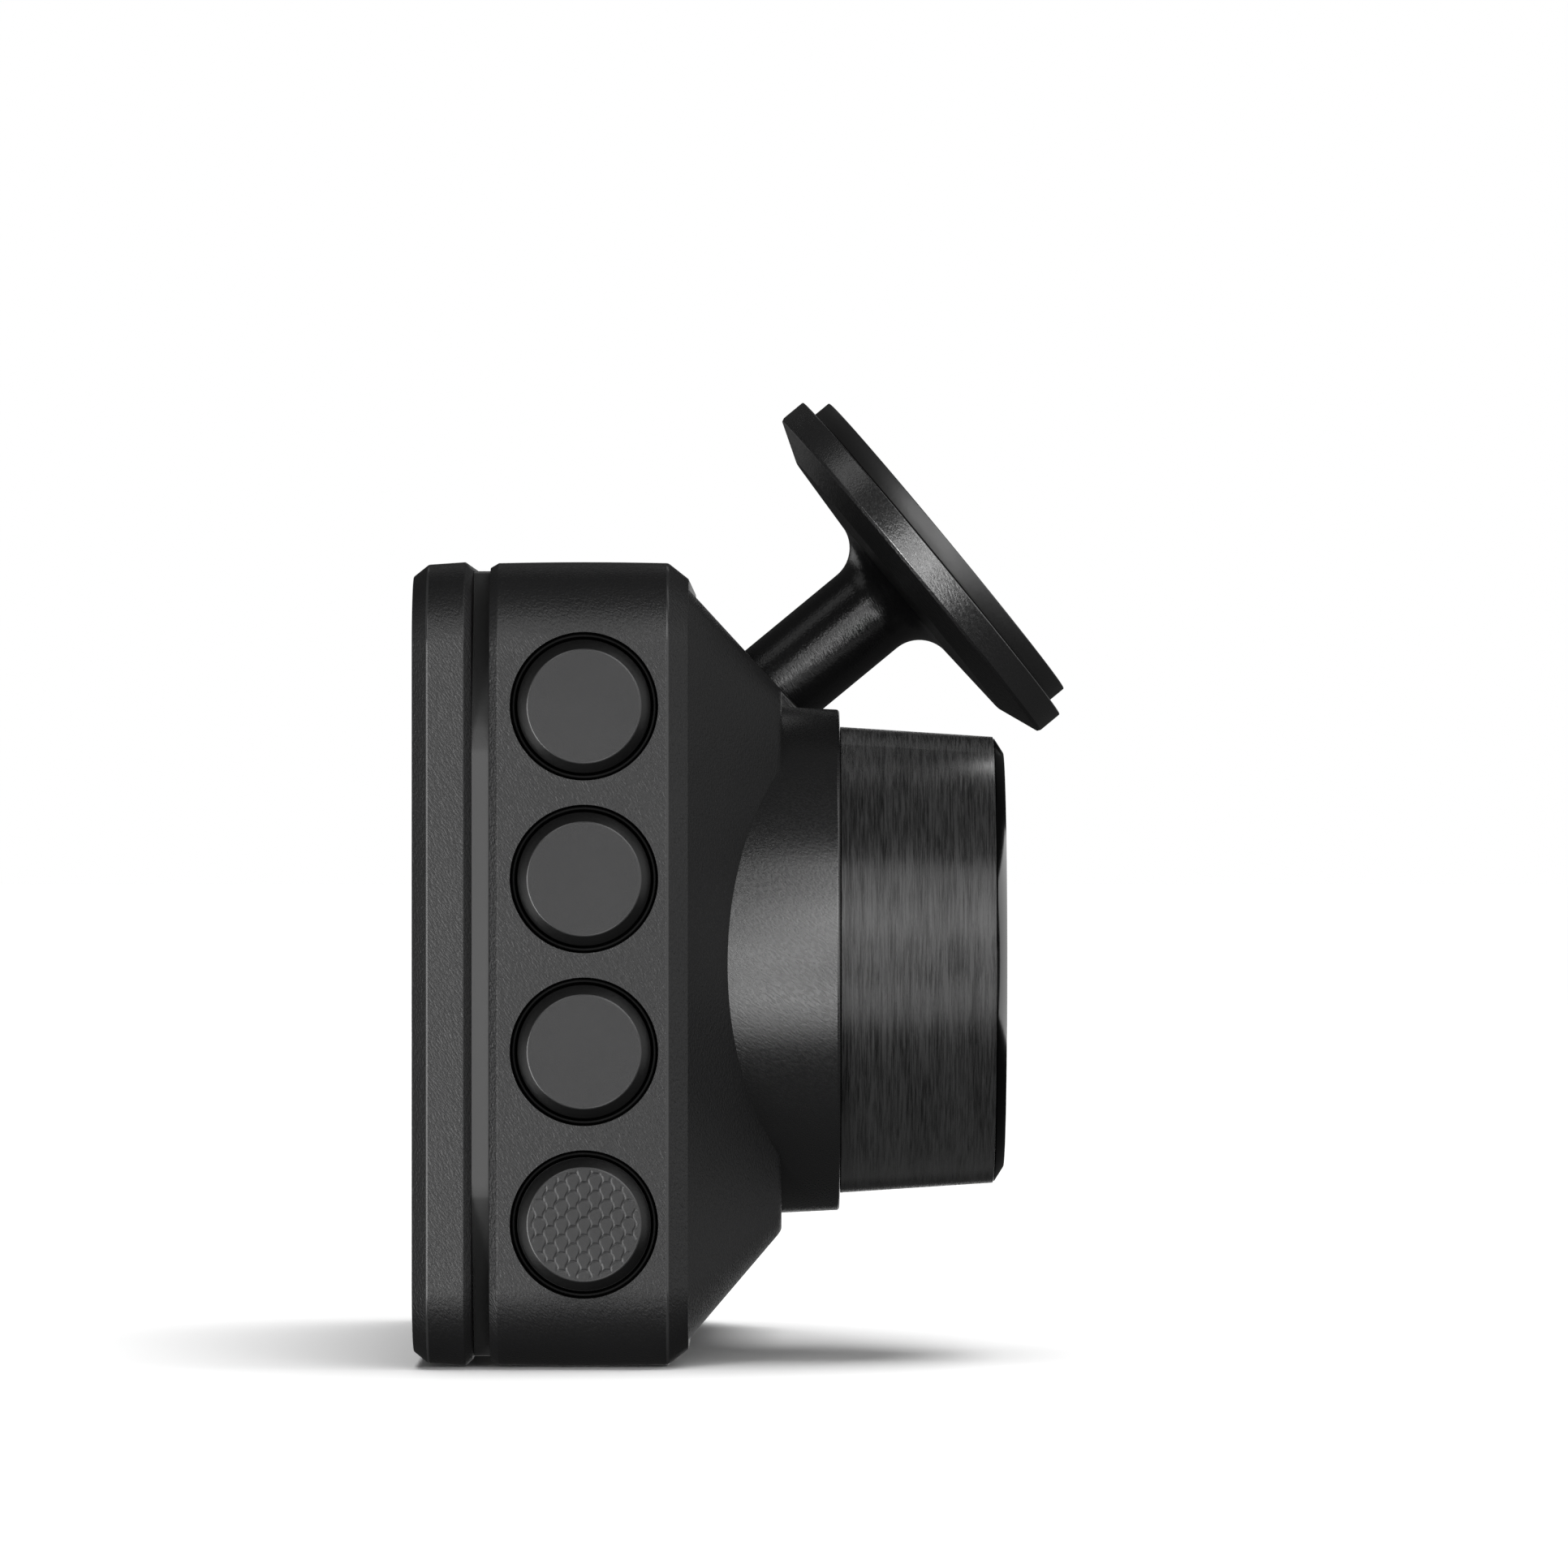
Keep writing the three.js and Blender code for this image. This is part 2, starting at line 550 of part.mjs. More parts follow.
function lightBaffle() {
  return turned([
    [BAFFLE.bore, BAFFLE_X.rear],
    [BAFFLE.middle, BAFFLE_X.dip],
    [BAFFLE.radius, BAFFLE_X.rear],
    [BAFFLE.radius, BAFFLE_X.front],
    [BAFFLE.shoulder, BAFFLE_X.front],
    [BAFFLE.bore, BAFFLE_X.boreFront],
    [BAFFLE.bore, BAFFLE_X.rear],
  ], lensFoot, X_AXIS, MEDIUM);
}

function sealRing() {
  const centre = SPIGOT.radius + GAP + SEAL.radius;
  const section = arc(centre, SEAL.x, SEAL.radius, 0, 360, SEAL_STEPS);
  section[section.length - 1] = [...section[0]];
  return turned(section, lensFoot, X_AXIS, MEDIUM);
}

// ---------------------------------------------------------------- ports

function portShell() {
  const { x, z, halfThick, halfLength, wall, depth } = PORT;
  const outerY = -SIDE_Y - GAP;
  const shell = slot(x, z, halfThick, halfLength, outerY - depth, outerY);
  const room = slot(x, z, halfThick - wall, halfLength - wall, outerY - depth + wall, outerY + OVER);
  return cut(shell, room);
}

function portTongue() {
  const { x, z, wall, depth } = PORT;
  const rearY = -SIDE_Y - GAP - depth + wall + GAP;
  const { halfThick, halfLength, recess } = TONGUE;
  return block([x - halfThick, rearY, z - halfLength],
    [x + halfThick, -SIDE_Y - recess, z + halfLength]);
}

function cardSocket() {
  const { thick, width, outer, clear } = CARD_SOCKET;
  const innerY = CARD.outer - CARD.length;
  const halfCard = CARD.thick / 2 + clear;
  const halfWidth = CARD.width / 2 + clear;
  return cut(
    block([CARD.x - thick / 2, innerY - OVER, CARD.z - width / 2],
      [CARD.x + thick / 2, outer, CARD.z + width / 2]),
    block([CARD.x - halfCard, innerY - clear, CARD.z - halfWidth],
      [CARD.x + halfCard, outer + OVER, CARD.z + halfWidth]),
  );
}

function memoryCard() {
  const innerY = CARD.outer - CARD.length;
  const body = block([CARD.x - CARD.thick / 2, innerY, CARD.z - CARD.width / 2],
    [CARD.x + CARD.thick / 2, CARD.outer, CARD.z + CARD.width / 2]);
  const notch = block([CARD.x - OVER, innerY - OVER, CARD.z + CARD.width / 2 - CARD_NOTCH.depth],
    [CARD.x + OVER, innerY + CARD_NOTCH.length, CARD.z + CARD.width / 2 + OVER]);
  return cut(body, notch);
}

function caseScrew([y, z]) {
  return turned([
    [0, SCREW_X.head],
    [SCREW.head, SCREW_X.head],
    [SCREW.head, SCREW_X.headEnd],
    [SCREW.shank, SCREW_X.headEnd],
    [SCREW.shank, SCREW_X.tip],
    [0, SCREW_X.tip],
  ], new THREE.Vector3(0, y, z), X_AXIS, COARSE);
}

// ---------------------------------------------------------------- ball mount

function socketMagnet() {
  return rod(MAGNET.radius, -MAGNET.far, -MAGNET.near, BALL_CENTRE, socketAxis);
}

function socketLiner() {
  const outerLip = THREE.MathUtils.radToDeg(Math.asin(LINER.lip / LINER.outer));
  const innerLip = THREE.MathUtils.radToDeg(Math.asin(LINER.lip / LINER.inner));
  return turned([
    ...arc(0, 0, LINER.outer, -90, outerLip, ARC_STEPS),
    ...arc(0, 0, LINER.inner, innerLip, -90, ARC_STEPS),
  ], BALL_CENTRE, socketAxis, SOCKET_SEGMENTS);
}

function mountBall() {
  const halfCircle = arc(0, 0, BALL_RADIUS, -90, 90, BALL_STEPS);
  return turned(halfCircle, BALL_CENTRE, stemAxis, SOCKET_SEGMENTS);
}

// Height on the sphere just outside the ball, at a given distance from the arm's axis.
const seatHeight = (radius) => Math.sqrt(LINER.inner ** 2 - radius ** 2);

function ballStud() {
  return turned([
    [0, LINER.inner],
    [STUD.radius / 2, seatHeight(STUD.radius / 2)],
    [STUD.radius, seatHeight(STUD.radius)],
    [STUD.radius, STUD.end],
    [0, STUD.end],
  ], BALL_CENTRE, stemAxis, COARSE);
}

function mountArm() {
  const { centreRadius, centreRise, radius: bend, from, to } = FLARE;
  const flare = arc(centreRadius, centreRise, bend, from, to, ARC_STEPS)
    .filter(([radius]) => radius > ARM.stem && radius < ARM.flareRadius);
  return turned([
    [0, STUD.boreEnd],
    [STUD.bore, STUD.boreEnd],
    [STUD.bore, seatHeight(STUD.bore)],
    [ARM.neck, seatHeight(ARM.neck)],
    [ARM.stem, seatHeight(ARM.stem)],
    [ARM.stem, ARM.stemEnd],
    ...flare,
    [ARM.flareRadius, ARM.flareEnd],
    [DISC.innerRadius, DISC.innerRise],
    [DISC.edgeRadius, DISC.edgeRise],
    [DISC.edgeRadius, DISC.face],
    [0, DISC.face],
  ], BALL_CENTRE, stemAxis, FINE);
}

function adhesivePad() {
  const start = DISC.face + GAP;
  return rod(PAD.radius, start, start + PAD.thickness, BALL_CENTRE, stemAxis, FINE);
}

// ---------------------------------------------------------------- assembly

const assembly = new THREE.Group();

function add(name, geometry, finish) {
  const mesh = new THREE.Mesh(closed(geometry), new THREE.MeshStandardMaterial(finishes[finish]));
  mesh.name = name;
  assembly.add(mesh);
}

add('front_housing', frontHousing(), 'shell');
add('rear_bezel', rearBezel(), 'shell');
add('mid_frame', midFrame(), 'band');

add('display_glass', displayGlass(), 'glass');
add('status_light', statusLight(), 'light');

Object.entries(INNER_BLOCKS).forEach(([name, { low, high, finish }]) => {
  add(name, block(low, high), finish);
});

add('image_sensor', imageSensor(), 'chip');
add('lens_barrel', lensBarrel(), 'insert');
add('rear_lens', lensElement(REAR_LENS), 'lens');
add('middle_lens', lensElement(MIDDLE_LENS), 'lens');
add('front_lens', lensElement(FRONT_LENS), 'lens');
add('lens_retainer', lensRetainer(), 'insert');
add('light_baffle', lightBaffle(), 'insert');
add('seal_ring', sealRing(), 'rubber');
add('lens_ring', lensRing(), 'brushed');
add('cover_glass', coverGlass(), 'glass');

buttonHeights.forEach((z, i) => {
  add(`button_${i + 1}`, button(z), 'button');
  add(`tact_switch_${i + 1}`, tactSwitch(z), 'steel');
});
add('button_membrane', buttonMembrane(), 'rubber');
add('button_board', buttonBoard(), 'board');

add('port_shell', portShell(), 'steel');
add('port_tongue', portTongue(), 'insert');
add('card_socket', cardSocket(), 'steel');
add('memory_card', memoryCard(), 'chip');

screwPlaces.forEach((place, i) => {
  add(`case_screw_${i + 1}`, caseScrew(place), 'steel');
});

add('socket_magnet', socketMagnet(), 'steel');
add('socket_liner', socketLiner(), 'insert');
add('mount_ball', mountBall(), 'steel');
add('ball_stud', ballStud(), 'steel');
add('mount_arm', mountArm(), 'shell');
add('adhesive_pad', adhesivePad(), 'pad');

export default assembly;
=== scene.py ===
"""Looks for the dash camera: fine meshes, materials, studio and camera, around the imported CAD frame.

Lengths in this file are millimetres until a mesh is made. +X is the way the lens looks, the buttons
are on the -Y side and +Z is up.
"""
import json
import math

import bmesh
import bpy
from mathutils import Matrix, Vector

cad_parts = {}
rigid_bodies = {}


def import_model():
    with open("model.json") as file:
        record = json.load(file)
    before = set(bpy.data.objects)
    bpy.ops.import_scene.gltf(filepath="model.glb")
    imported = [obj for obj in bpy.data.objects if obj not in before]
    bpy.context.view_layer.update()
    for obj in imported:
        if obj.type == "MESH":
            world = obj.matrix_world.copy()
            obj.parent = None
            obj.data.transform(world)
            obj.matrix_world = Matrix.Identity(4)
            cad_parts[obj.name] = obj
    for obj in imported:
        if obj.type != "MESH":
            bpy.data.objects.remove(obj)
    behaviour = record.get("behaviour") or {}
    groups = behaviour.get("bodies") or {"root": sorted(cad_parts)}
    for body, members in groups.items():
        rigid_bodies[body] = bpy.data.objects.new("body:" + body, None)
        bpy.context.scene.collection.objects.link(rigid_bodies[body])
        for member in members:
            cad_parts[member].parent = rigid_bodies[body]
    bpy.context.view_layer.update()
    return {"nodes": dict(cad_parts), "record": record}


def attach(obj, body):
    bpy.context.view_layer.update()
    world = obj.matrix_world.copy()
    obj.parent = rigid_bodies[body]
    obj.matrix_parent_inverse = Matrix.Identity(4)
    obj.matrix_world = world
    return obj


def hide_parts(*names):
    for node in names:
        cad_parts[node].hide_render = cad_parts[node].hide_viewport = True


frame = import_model()

MM = 0.001
SHARP_ANGLE = math.radians(35)   # faces that meet at more than this have a hard edge
FACET_ANGLE = math.radians(30)   # faces that meet at less than this are facets of one curve

# ------------------------------------------------------------------ driving dimensions

X_AXIS = Vector((1.0, 0.0, 0.0))
Y_AXIS = Vector((0.0, 1.0, 0.0))
Z_AXIS = Vector((0.0, 0.0, 1.0))

BODY_WIDTH = 61.0
BODY_HEIGHT = 48.0
BODY_CORNER = 5.0
MID_Z = BODY_HEIGHT / 2
SIDE_Y = -BODY_WIDTH / 2         # outer face of the button side
WALL = 1.6
BEZEL_EDGE_X = -9.1              # where the bezel's rear chamfer meets its side
HOUSING_EDGE_X = 5.2             # where the housing's front chamfer meets its side
CROWN = 0.0025                   # how the housing's sides fall away from CROWN_X, in mm per mm squared
CROWN_X = 0.14
HIGHLIGHT_REACH = 0.11                # how far the painted highlight of a rounded edge reaches from the edge
SCREW_POSTS = [Vector((0.0, y, z)) for y in (-21, 21) for z in (3.8, 44.2)]

WINDOW_SIZE = (26.6, 20.1, 2.4)  # half width, half height and corner radius
DISPLAY_SIZE = (26.3, 19.8, 2.1)
ACTIVE_AREA = (23.8, 17.8)       # half width and half height
STATUS_LIGHT_FOOT = Vector((0.0, 22.0, 2.4))
PYRAMID_X = (6.42, 11.95)
PYRAMID_FOOT = (29.4, 1.6, 46.35, 3.4)    # half width, low, high, corner radius
PYRAMID_TOP = (20.0, 7.8, 40.4, 1.0)
PYRAMID_EDGE = 0.05              # share of the slope that the rounding of the top's edge takes

BUTTON_X = 0.24
BUTTON_PITCH = 10.24
BUTTON_COUNT = 4
BUTTON_HEIGHTS = [MID_Z + BUTTON_PITCH * ((BUTTON_COUNT - 1) / 2 - i) for i in range(BUTTON_COUNT)]
BUTTON_FACE = 3.37
BUTTON_BODY = 3.96
BUTTON_HOLE = 4.405
BUTTON_SUNK = 0.03               # how far the face lies below the side
BUTTON_FLANGE = 4.7
SCALE_ACROSS, SCALE_UP = 0.665, 1.04      # spacing of the last button's scales
SCALE_RADIUS = 0.42
GROOVE_HALF_WIDTH, GROOVE_DEPTH = 0.085, 0.035

PORT_X, PORT_Z = -0.67, 33
CARD_X, CARD_Z = -1.2, 14
SOUND_HOLE = (-1.75, 24.4, 0.6)
GRILLE_COUNT, GRILLE_PITCH, GRILLE_START = 5, 2.4, (1.1, 4.7)

LENS_FOOT = Vector((0.0, -10.0, MID_Z))
CLEAR_RADIUS = 8.2               # the clear window in the cover glass
FRONT_LENS_RADIUS = 7.3

SOCKET_ANGLE = math.radians(43.4)
STEM_ANGLE = math.radians(39.5)
SOCKET_AXIS = Vector((math.cos(SOCKET_ANGLE), 0.0, math.sin(SOCKET_ANGLE)))
STEM_AXIS = Vector((math.cos(STEM_ANGLE), 0.0, math.sin(STEM_ANGLE)))
BALL_CENTRE = Vector((8.882, 0.0, 38.57))
BALL_RADIUS = 4.3
LINER_INNER, LINER_OUTER, LINER_LIP = 4.5, 5, 1
POCKET_RADIUS, POCKET_MOUTH, POCKET_LIP = 5.25, 4.7, 1.3
SOCKET_DEPTH = 3.59              # from the ball's centre out to the block's slope
BLOCK_FRONT, BLOCK_LOW, BLOCK_HALF_WIDTH = 14.4, 30, 6
STEM_RADIUS = 2.94
DISC_RIM_HEIGHT = 14.4           # where the disc's rim starts, from the ball's centre
FLARE_RADIUS = 5.2               # where the stem's flare turns into the disc's back

# The way that the plastic's grain runs.
SHELL_GRAIN = Vector((0.6, 0.15, -0.8))
COLLAR_GRAIN = Vector((0.8, 0.15, -0.6))
MOUNT_GRAIN = Vector((0.5, 0.2, -0.85))


# ------------------------------------------------------------------ outline helpers

def filleted(points, radius, closed=False, steps=5):
    """The polyline with rounded corners; radius is one number, or {corner number: radius}."""
    count = len(points)
    result = []
    for i, point in enumerate(points):
        own = radius.get(i, 0.0) if isinstance(radius, dict) else radius
        is_end = not closed and i in (0, count - 1)
        here = Vector(point)
        before = Vector(points[i - 1]) - here
        after = Vector(points[(i + 1) % count]) - here
        if own <= 0 or is_end or before.length < 1e-9 or after.length < 1e-9:
            result.append(tuple(point))
            continue
        half = before.angle(after) / 2
        if half > math.radians(89.5):
            result.append(tuple(point))
            continue
        reach = min(own / math.tan(half), 0.45 * before.length, 0.45 * after.length)
        start = here + before.normalized() * reach
        end = here + after.normalized() * reach
        bisector = (before.normalized() + after.normalized()).normalized()
        centre = here + bisector * (reach / math.cos(half))
        first, last = start - centre, end - centre
        turn = first.angle_signed(last)
        for k in range(steps + 1):
            angle = -turn * k / steps
            cos, sin = math.cos(angle), math.sin(angle)
            arm = (first.x * cos - first.y * sin, first.x * sin + first.y * cos)
            result.append((centre.x + arm[0], centre.y + arm[1]))
    return result


def arc(centre_radius, centre_height, radius, start, end, steps):
    """Points along an arc, from one angle to another in degrees."""
    angles = [math.radians(start + (end - start) * i / steps) for i in range(steps + 1)]
    return [(centre_radius + radius * math.cos(a), centre_height + radius * math.sin(a)) for a in angles]


def rounded_rect(half_width, low, high, corner, steps=14):
    """A rectangle with rounded corners in (Y, Z), counter-clockwise."""
    y = half_width - corner
    corners = [(y, low + corner), (y, high - corner), (-y, high - corner), (-y, low + corner)]
    return [point for i, (cy, cz) in enumerate(corners)
            for point in arc(cy, cz, corner, i * 90 - 90, i * 90, steps)]


def body_outline(inset):
    """The body's outline, moved inwards."""
    corner = max(BODY_CORNER - inset, 0.4)
    return rounded_rect(BODY_WIDTH / 2 - inset, inset, BODY_HEIGHT - inset, corner)


# ------------------------------------------------------------------ mesh helpers

def make_object(name, vertices, faces):
    """A shaded object from vertices in millimetres, with its faces turned outwards."""
    mesh = bpy.data.meshes.new(name)
    mesh.from_pydata([Vector(v) * MM for v in vertices], [], faces)
    work = bmesh.new()
    work.from_mesh(mesh)
    bmesh.ops.remove_doubles(work, verts=work.verts, dist=1e-7)
    bmesh.ops.recalc_face_normals(work, faces=work.faces)
    work.to_mesh(mesh)
    work.free()
    piece = bpy.data.objects.new(name, mesh)
    bpy.context.scene.collection.objects.link(piece)
    shade(piece)
    return piece


def shade(piece):
    """Smooth shading, with hard edges where faces meet at more than the sharp angle."""
    piece.data.shade_smooth()
    piece.data.set_sharp_from_angle(angle=SHARP_ANGLE)


def even_normals(piece):
    """Keeps large flat faces flat next to narrow rounded edges."""
    weighted = piece.modifiers.new("even_normals", "WEIGHTED_NORMAL")
    weighted.keep_sharp = True
    weighted.weight = 80


def loft(name, stations):
    """A solid through matching (Y, Z) outlines, each at its own X."""
    count = len(stations[0][1])
    vertices = [(x, y, z) for x, outline in stations for y, z in outline]
    faces = []
    for ring in range(len(stations) - 1):
        for i in range(count):
            a = ring * count + i
            b = ring * count + (i + 1) % count
            faces.append((a, b, b + count, a + count))
    faces.append(tuple(range(count)))
    faces.append(tuple(range((len(stations) - 1) * count, len(stations) * count)))
    return make_object(name, vertices, faces)


def turned(name, profile, foot, axis, segments=128, relief=None):
    """A solid turned about an axis; the profile is (radius, height) pairs from a foot point.

    relief(arm, radius) says how far a point is sunk along the axis.
    """
    turn = Z_AXIS.rotation_difference(axis)
    vertices = []
    rings = []
    for radius, height in profile:
        if radius < 1e-6:
            rings.append([len(vertices)] * segments)
            vertices.append(foot + axis * height)
            continue
        rings.append(list(range(len(vertices), len(vertices) + segments)))
        for i in range(segments):
            angle = 2 * math.pi * i / segments
            arm = turn @ Vector((radius * math.cos(angle), radius * math.sin(angle), height))
            sunk = relief(arm, radius) if relief else 0.0
            vertices.append(foot + arm + axis * sunk)
    faces = []
    for low, high in zip(rings, rings[1:]):
        for i in range(segments):
            j = (i + 1) % segments
            corners = list(dict.fromkeys((low[i], low[j], high[j], high[i])))
            if len(corners) > 2:
                faces.append(corners)
    return make_object(name, vertices, faces)


def rod(radius, low, high):
    """The profile of a plain round rod."""
    return [(0, low), (radius, low), (radius, high), (0, high)]


def prism(name, outline, start, end, bevel=0.0, upright=False):
    """An (X, Z) outline carried along Y, or an (X, Y) outline carried up Z."""
    count = len(outline)
    vertices = [(x, v, w) if upright else (x, w, v) for w in (start, end) for x, v in outline]
    faces = [(i, (i + 1) % count, (i + 1) % count + count, i + count) for i in range(count)]
    faces += [tuple(range(count)), tuple(range(count, 2 * count))]
    piece = make_object(name, vertices, faces)
    if bevel:
        bevel_edges(piece, bevel)
    return piece


def box(name, low, high, bevel=0.0):
    """A block between two corners."""
    outline = [(low[0], low[2]), (high[0], low[2]), (high[0], high[2]), (low[0], high[2])]
    return prism(name, outline, low[1], high[1], bevel)


def slot_outline(x, z, half_thick, half_length):
    """An (X, Z) outline with round ends, long in Z."""
    reach = half_length - half_thick
    top = arc(x, z + reach, half_thick, 0, 180, 16)
    bottom = arc(x, z - reach, half_thick, 180, 360, 16)
    return top + bottom


def bevel_edges(piece, width):
    """Rounds the edges of a simple piece, apart from those between the facets of a curve."""
    work = bmesh.new()
    work.from_mesh(piece.data)
    edges = [edge for edge in work.edges if edge.calc_face_angle(0.0) > FACET_ANGLE]
    bmesh.ops.bevel(work, geom=edges, offset=width * MM, segments=3, profile=0.5, affect="EDGES",
                    clamp_overlap=True)
    work.to_mesh(piece.data)
    work.free()
    shade(piece)


def combine(piece, tools, operation):
    """Adds tools to a piece or cuts them out of it, one after another, and drops the tools."""
    for tool in tools:
        step = piece.modifiers.new("step", "BOOLEAN")
        step.operation = operation
        step.solver = "EXACT"
        step.material_mode = "TRANSFER"
        step.object = tool
        graph = bpy.context.evaluated_depsgraph_get()
        result = bpy.data.meshes.new_from_object(piece.evaluated_get(graph))
        piece.modifiers.clear()
        old = piece.data
        piece.data = result
        result.name = old.name
        bpy.data.meshes.remove(old)
        bpy.data.meshes.remove(tool.data)


def joined_tool(name, tools):
    """One cutting tool from several that don't touch each other."""
    work = bmesh.new()
    for tool in tools:
        work.from_mesh(tool.data)
        bpy.data.meshes.remove(tool.data)
    mesh = bpy.data.meshes.new(name)
    work.to_mesh(mesh)
    work.free()
    piece = bpy.data.objects.new(name, mesh)
    bpy.context.scene.collection.objects.link(piece)
    return piece


# ------------------------------------------------------------------ materials

class Finish:
    """A node material with a Principled shader, and short calls to build its inputs."""

    def __init__(self, name, color=None, **sockets):
        self.material = bpy.data.materials.new(name)
        self.material.use_nodes = True
        self.tree = self.material.node_tree
        self.shader = self.tree.nodes["Principled BSDF"]
        if color is not None:
            self.shader.inputs["Base Color"].default_value = (*color, 1.0)
        for socket, value in sockets.items():
            self.shader.inputs[socket.replace("_", " ")].default_value = value

    def node(self, kind, inputs=None, **settings):
        """A new node; an input is a number, a vector or another node's output."""
        made = self.tree.nodes.new(kind)
        for key, value in settings.items():
            setattr(made, key, value)
        for key, value in (inputs or {}).items():
            if isinstance(value, bpy.types.NodeSocket):
                self.tree.links.new(value, made.inputs[key])
            else:
                made.inputs[key].default_value = value
        return made

    def place(self, scale=(1.0, 1.0, 1.0), turn=(0.0, 0.0, 0.0)):
        """Position on the object in metres, turned and stretched."""
        where = self.node("ShaderNodeTexCoord").outputs["Object"]
        turned_place = self.node("ShaderNodeMapping", {"Vector": where, "Rotation": turn})
        return self.node("ShaderNodeMapping", {"Vector": turned_place.outputs[0], "Scale": scale}).outputs[0]

    def noise(self, place, scale, detail=3.0, roughness=0.55, distortion=0.0):
        texture = self.node("ShaderNodeTexNoise", {
            "Vector": place, "Scale": scale, "Detail": detail, "Roughness": roughness,
            "Distortion": distortion})
        return texture.outputs["Fac"]

    def spread(self, value, low, high, start=0.3, end=0.7):
        """A value stretched from start..end to low..high."""
        return self.node("ShaderNodeMapRange", {
            "Value": value, "From Min": start, "From Max": end, "To Min": low, "To Max": high,
        }).outputs["Result"]

    def math(self, operation, first, second=0.0):
        return self.node("ShaderNodeMath", {0: first, 1: second}, operation=operation).outputs[0]

    def mix(self, factor, first, second):
        """A colour between two colours."""
        made = self.node("ShaderNodeMix", data_type="RGBA")
        for socket, value in ((made.inputs[0], factor), (made.inputs[6], first), (made.inputs[7], second)):
            if isinstance(value, bpy.types.NodeSocket):
                self.tree.links.new(value, socket)
            else:
                socket.default_value = value if isinstance(value, float) else (*value, 1.0)
        return made.outputs[2]

    def feed(self, socket, value):
        """Links a value to an input of the shader."""
        self.tree.links.new(value, self.shader.inputs[socket])

    def bump(self, height, depth_mm):
        """Relief of a given depth."""
        made = self.node("ShaderNodeBump", {"Height": height, "Distance": depth_mm * MM})
        self.feed("Normal", made.outputs["Normal"])

    def cloud(self, dark, light, scale):
        """Feeds a base colour that drifts softly between two colours."""
        factor = self.spread(self.noise(self.place(), scale, 2.0), 0.0, 1.0)
        self.feed("Base Color", self.mix(factor, dark, light))


def grey(level, blue=0.0):
    """A grey in linear light, with a trace of blue."""
    return (level, level, level + blue)


def grained_plastic(name, dark, light, roughness, depth_mm, grain_axis, ior=1.5):
    """Moulded plastic with a fine leather-like grain of wavy wrinkles that run along an axis."""
    finish = Finish(name, IOR=ior)
    slant = grain_axis.rotation_difference(Z_AXIS).to_euler()
    along = finish.place(scale=(1.0, 1.0, 0.3), turn=slant)
    wrinkles = finish.noise(along, 9500.0, 1.0, 0.5, 0.4)
    pores = finish.noise(finish.place(), 9000.0, 1.0, 0.5)
    finish.bump(finish.math("ADD", wrinkles, finish.math("MULTIPLY", pores, 0.4)), depth_mm)
    finish.cloud(dark, light, 140.0)
    finish.feed("Roughness", finish.spread(wrinkles, roughness - 0.04, roughness + 0.05))
    return finish.material


def satin_plastic(name, dark, light, roughness, depth_mm=0.004, **sockets):
    """Smooth moulded plastic with a faint spark-eroded texture."""
    finish = Finish(name, **{"IOR": 1.5, **sockets})
    fine = finish.noise(finish.place(), 6500.0, 3.0, 0.7)
    finish.bump(fine, depth_mm)
    finish.cloud(dark, light, 220.0)
    finish.feed("Roughness", finish.spread(fine, roughness - 0.04, roughness + 0.05))
    return finish.material


def polished_black(name, dark, light, roughness, ior=1.5):
    """Polished black plastic or backed glass, with the faint smear that handling leaves."""
    finish = Finish(name, IOR=ior)
    smear = finish.noise(finish.place(scale=(1.0, 1.0, 0.4)), 90.0, 4.0, 0.6, 0.4)
    finish.feed("Base Color", finish.mix(finish.spread(smear, 0.0, 1.0), dark, light))
    finish.feed("Roughness", finish.spread(smear, roughness, roughness + 0.04))
    return finish.material


def brushed_ring():
    """Black anodised metal, brushed round the lens axis."""
    finish = Finish("brushed_ring", Metallic=0.5, IOR=1.6)
    streaks = finish.noise(finish.place(scale=(1.0, 0.045, 0.045)), 9000.0, 3.0, 0.65)
    broad = finish.noise(finish.place(scale=(1.0, 0.05, 0.05)), 1800.0, 2.0)
    both = finish.math("ADD", finish.math("MULTIPLY", streaks, 0.7), finish.math("MULTIPLY", broad, 0.3))
    finish.feed("Base Color", finish.mix(
        finish.spread(both, 0.0, 1.0, 0.36, 0.6), grey(0.014), grey(0.066)))
    finish.feed("Roughness", finish.spread(streaks, 0.2, 0.34))
    finish.bump(both, 0.008)
    return finish.material


def worn_metal(name, dark, light, roughness):
    """Bare or plated metal with fine drawn lines."""
    finish = Finish(name, Metallic=1.0)
    lines = finish.noise(finish.place(scale=(1.0, 1.0, 0.08)), 4200.0, 4.0, 0.7)
    finish.feed("Base Color", finish.mix(finish.spread(lines, 0.0, 1.0), dark, light))
    finish.feed("Roughness", finish.spread(lines, roughness - 0.06, roughness + 0.08))
    finish.bump(lines, 0.003)
    return finish.material


def circuit_board():
    """Solder mask over copper tracks."""
    finish = Finish("circuit_board", IOR=1.5, Roughness=0.35)
    tracks = finish.node("ShaderNodeTexBrick", {
        "Vector": finish.place(turn=(0.0, math.pi / 2, 0.0)), "Scale": 420.0, "Mortar Size": 0.03,
        "Color1": (0.006, 0.035, 0.018, 1.0), "Color2": (0.008, 0.045, 0.022, 1.0),
        "Mortar": (0.02, 0.09, 0.045, 1.0)})
    finish.feed("Base Color", tracks.outputs["Color"])
    finish.bump(tracks.outputs["Fac"], 0.02)
    return finish.material


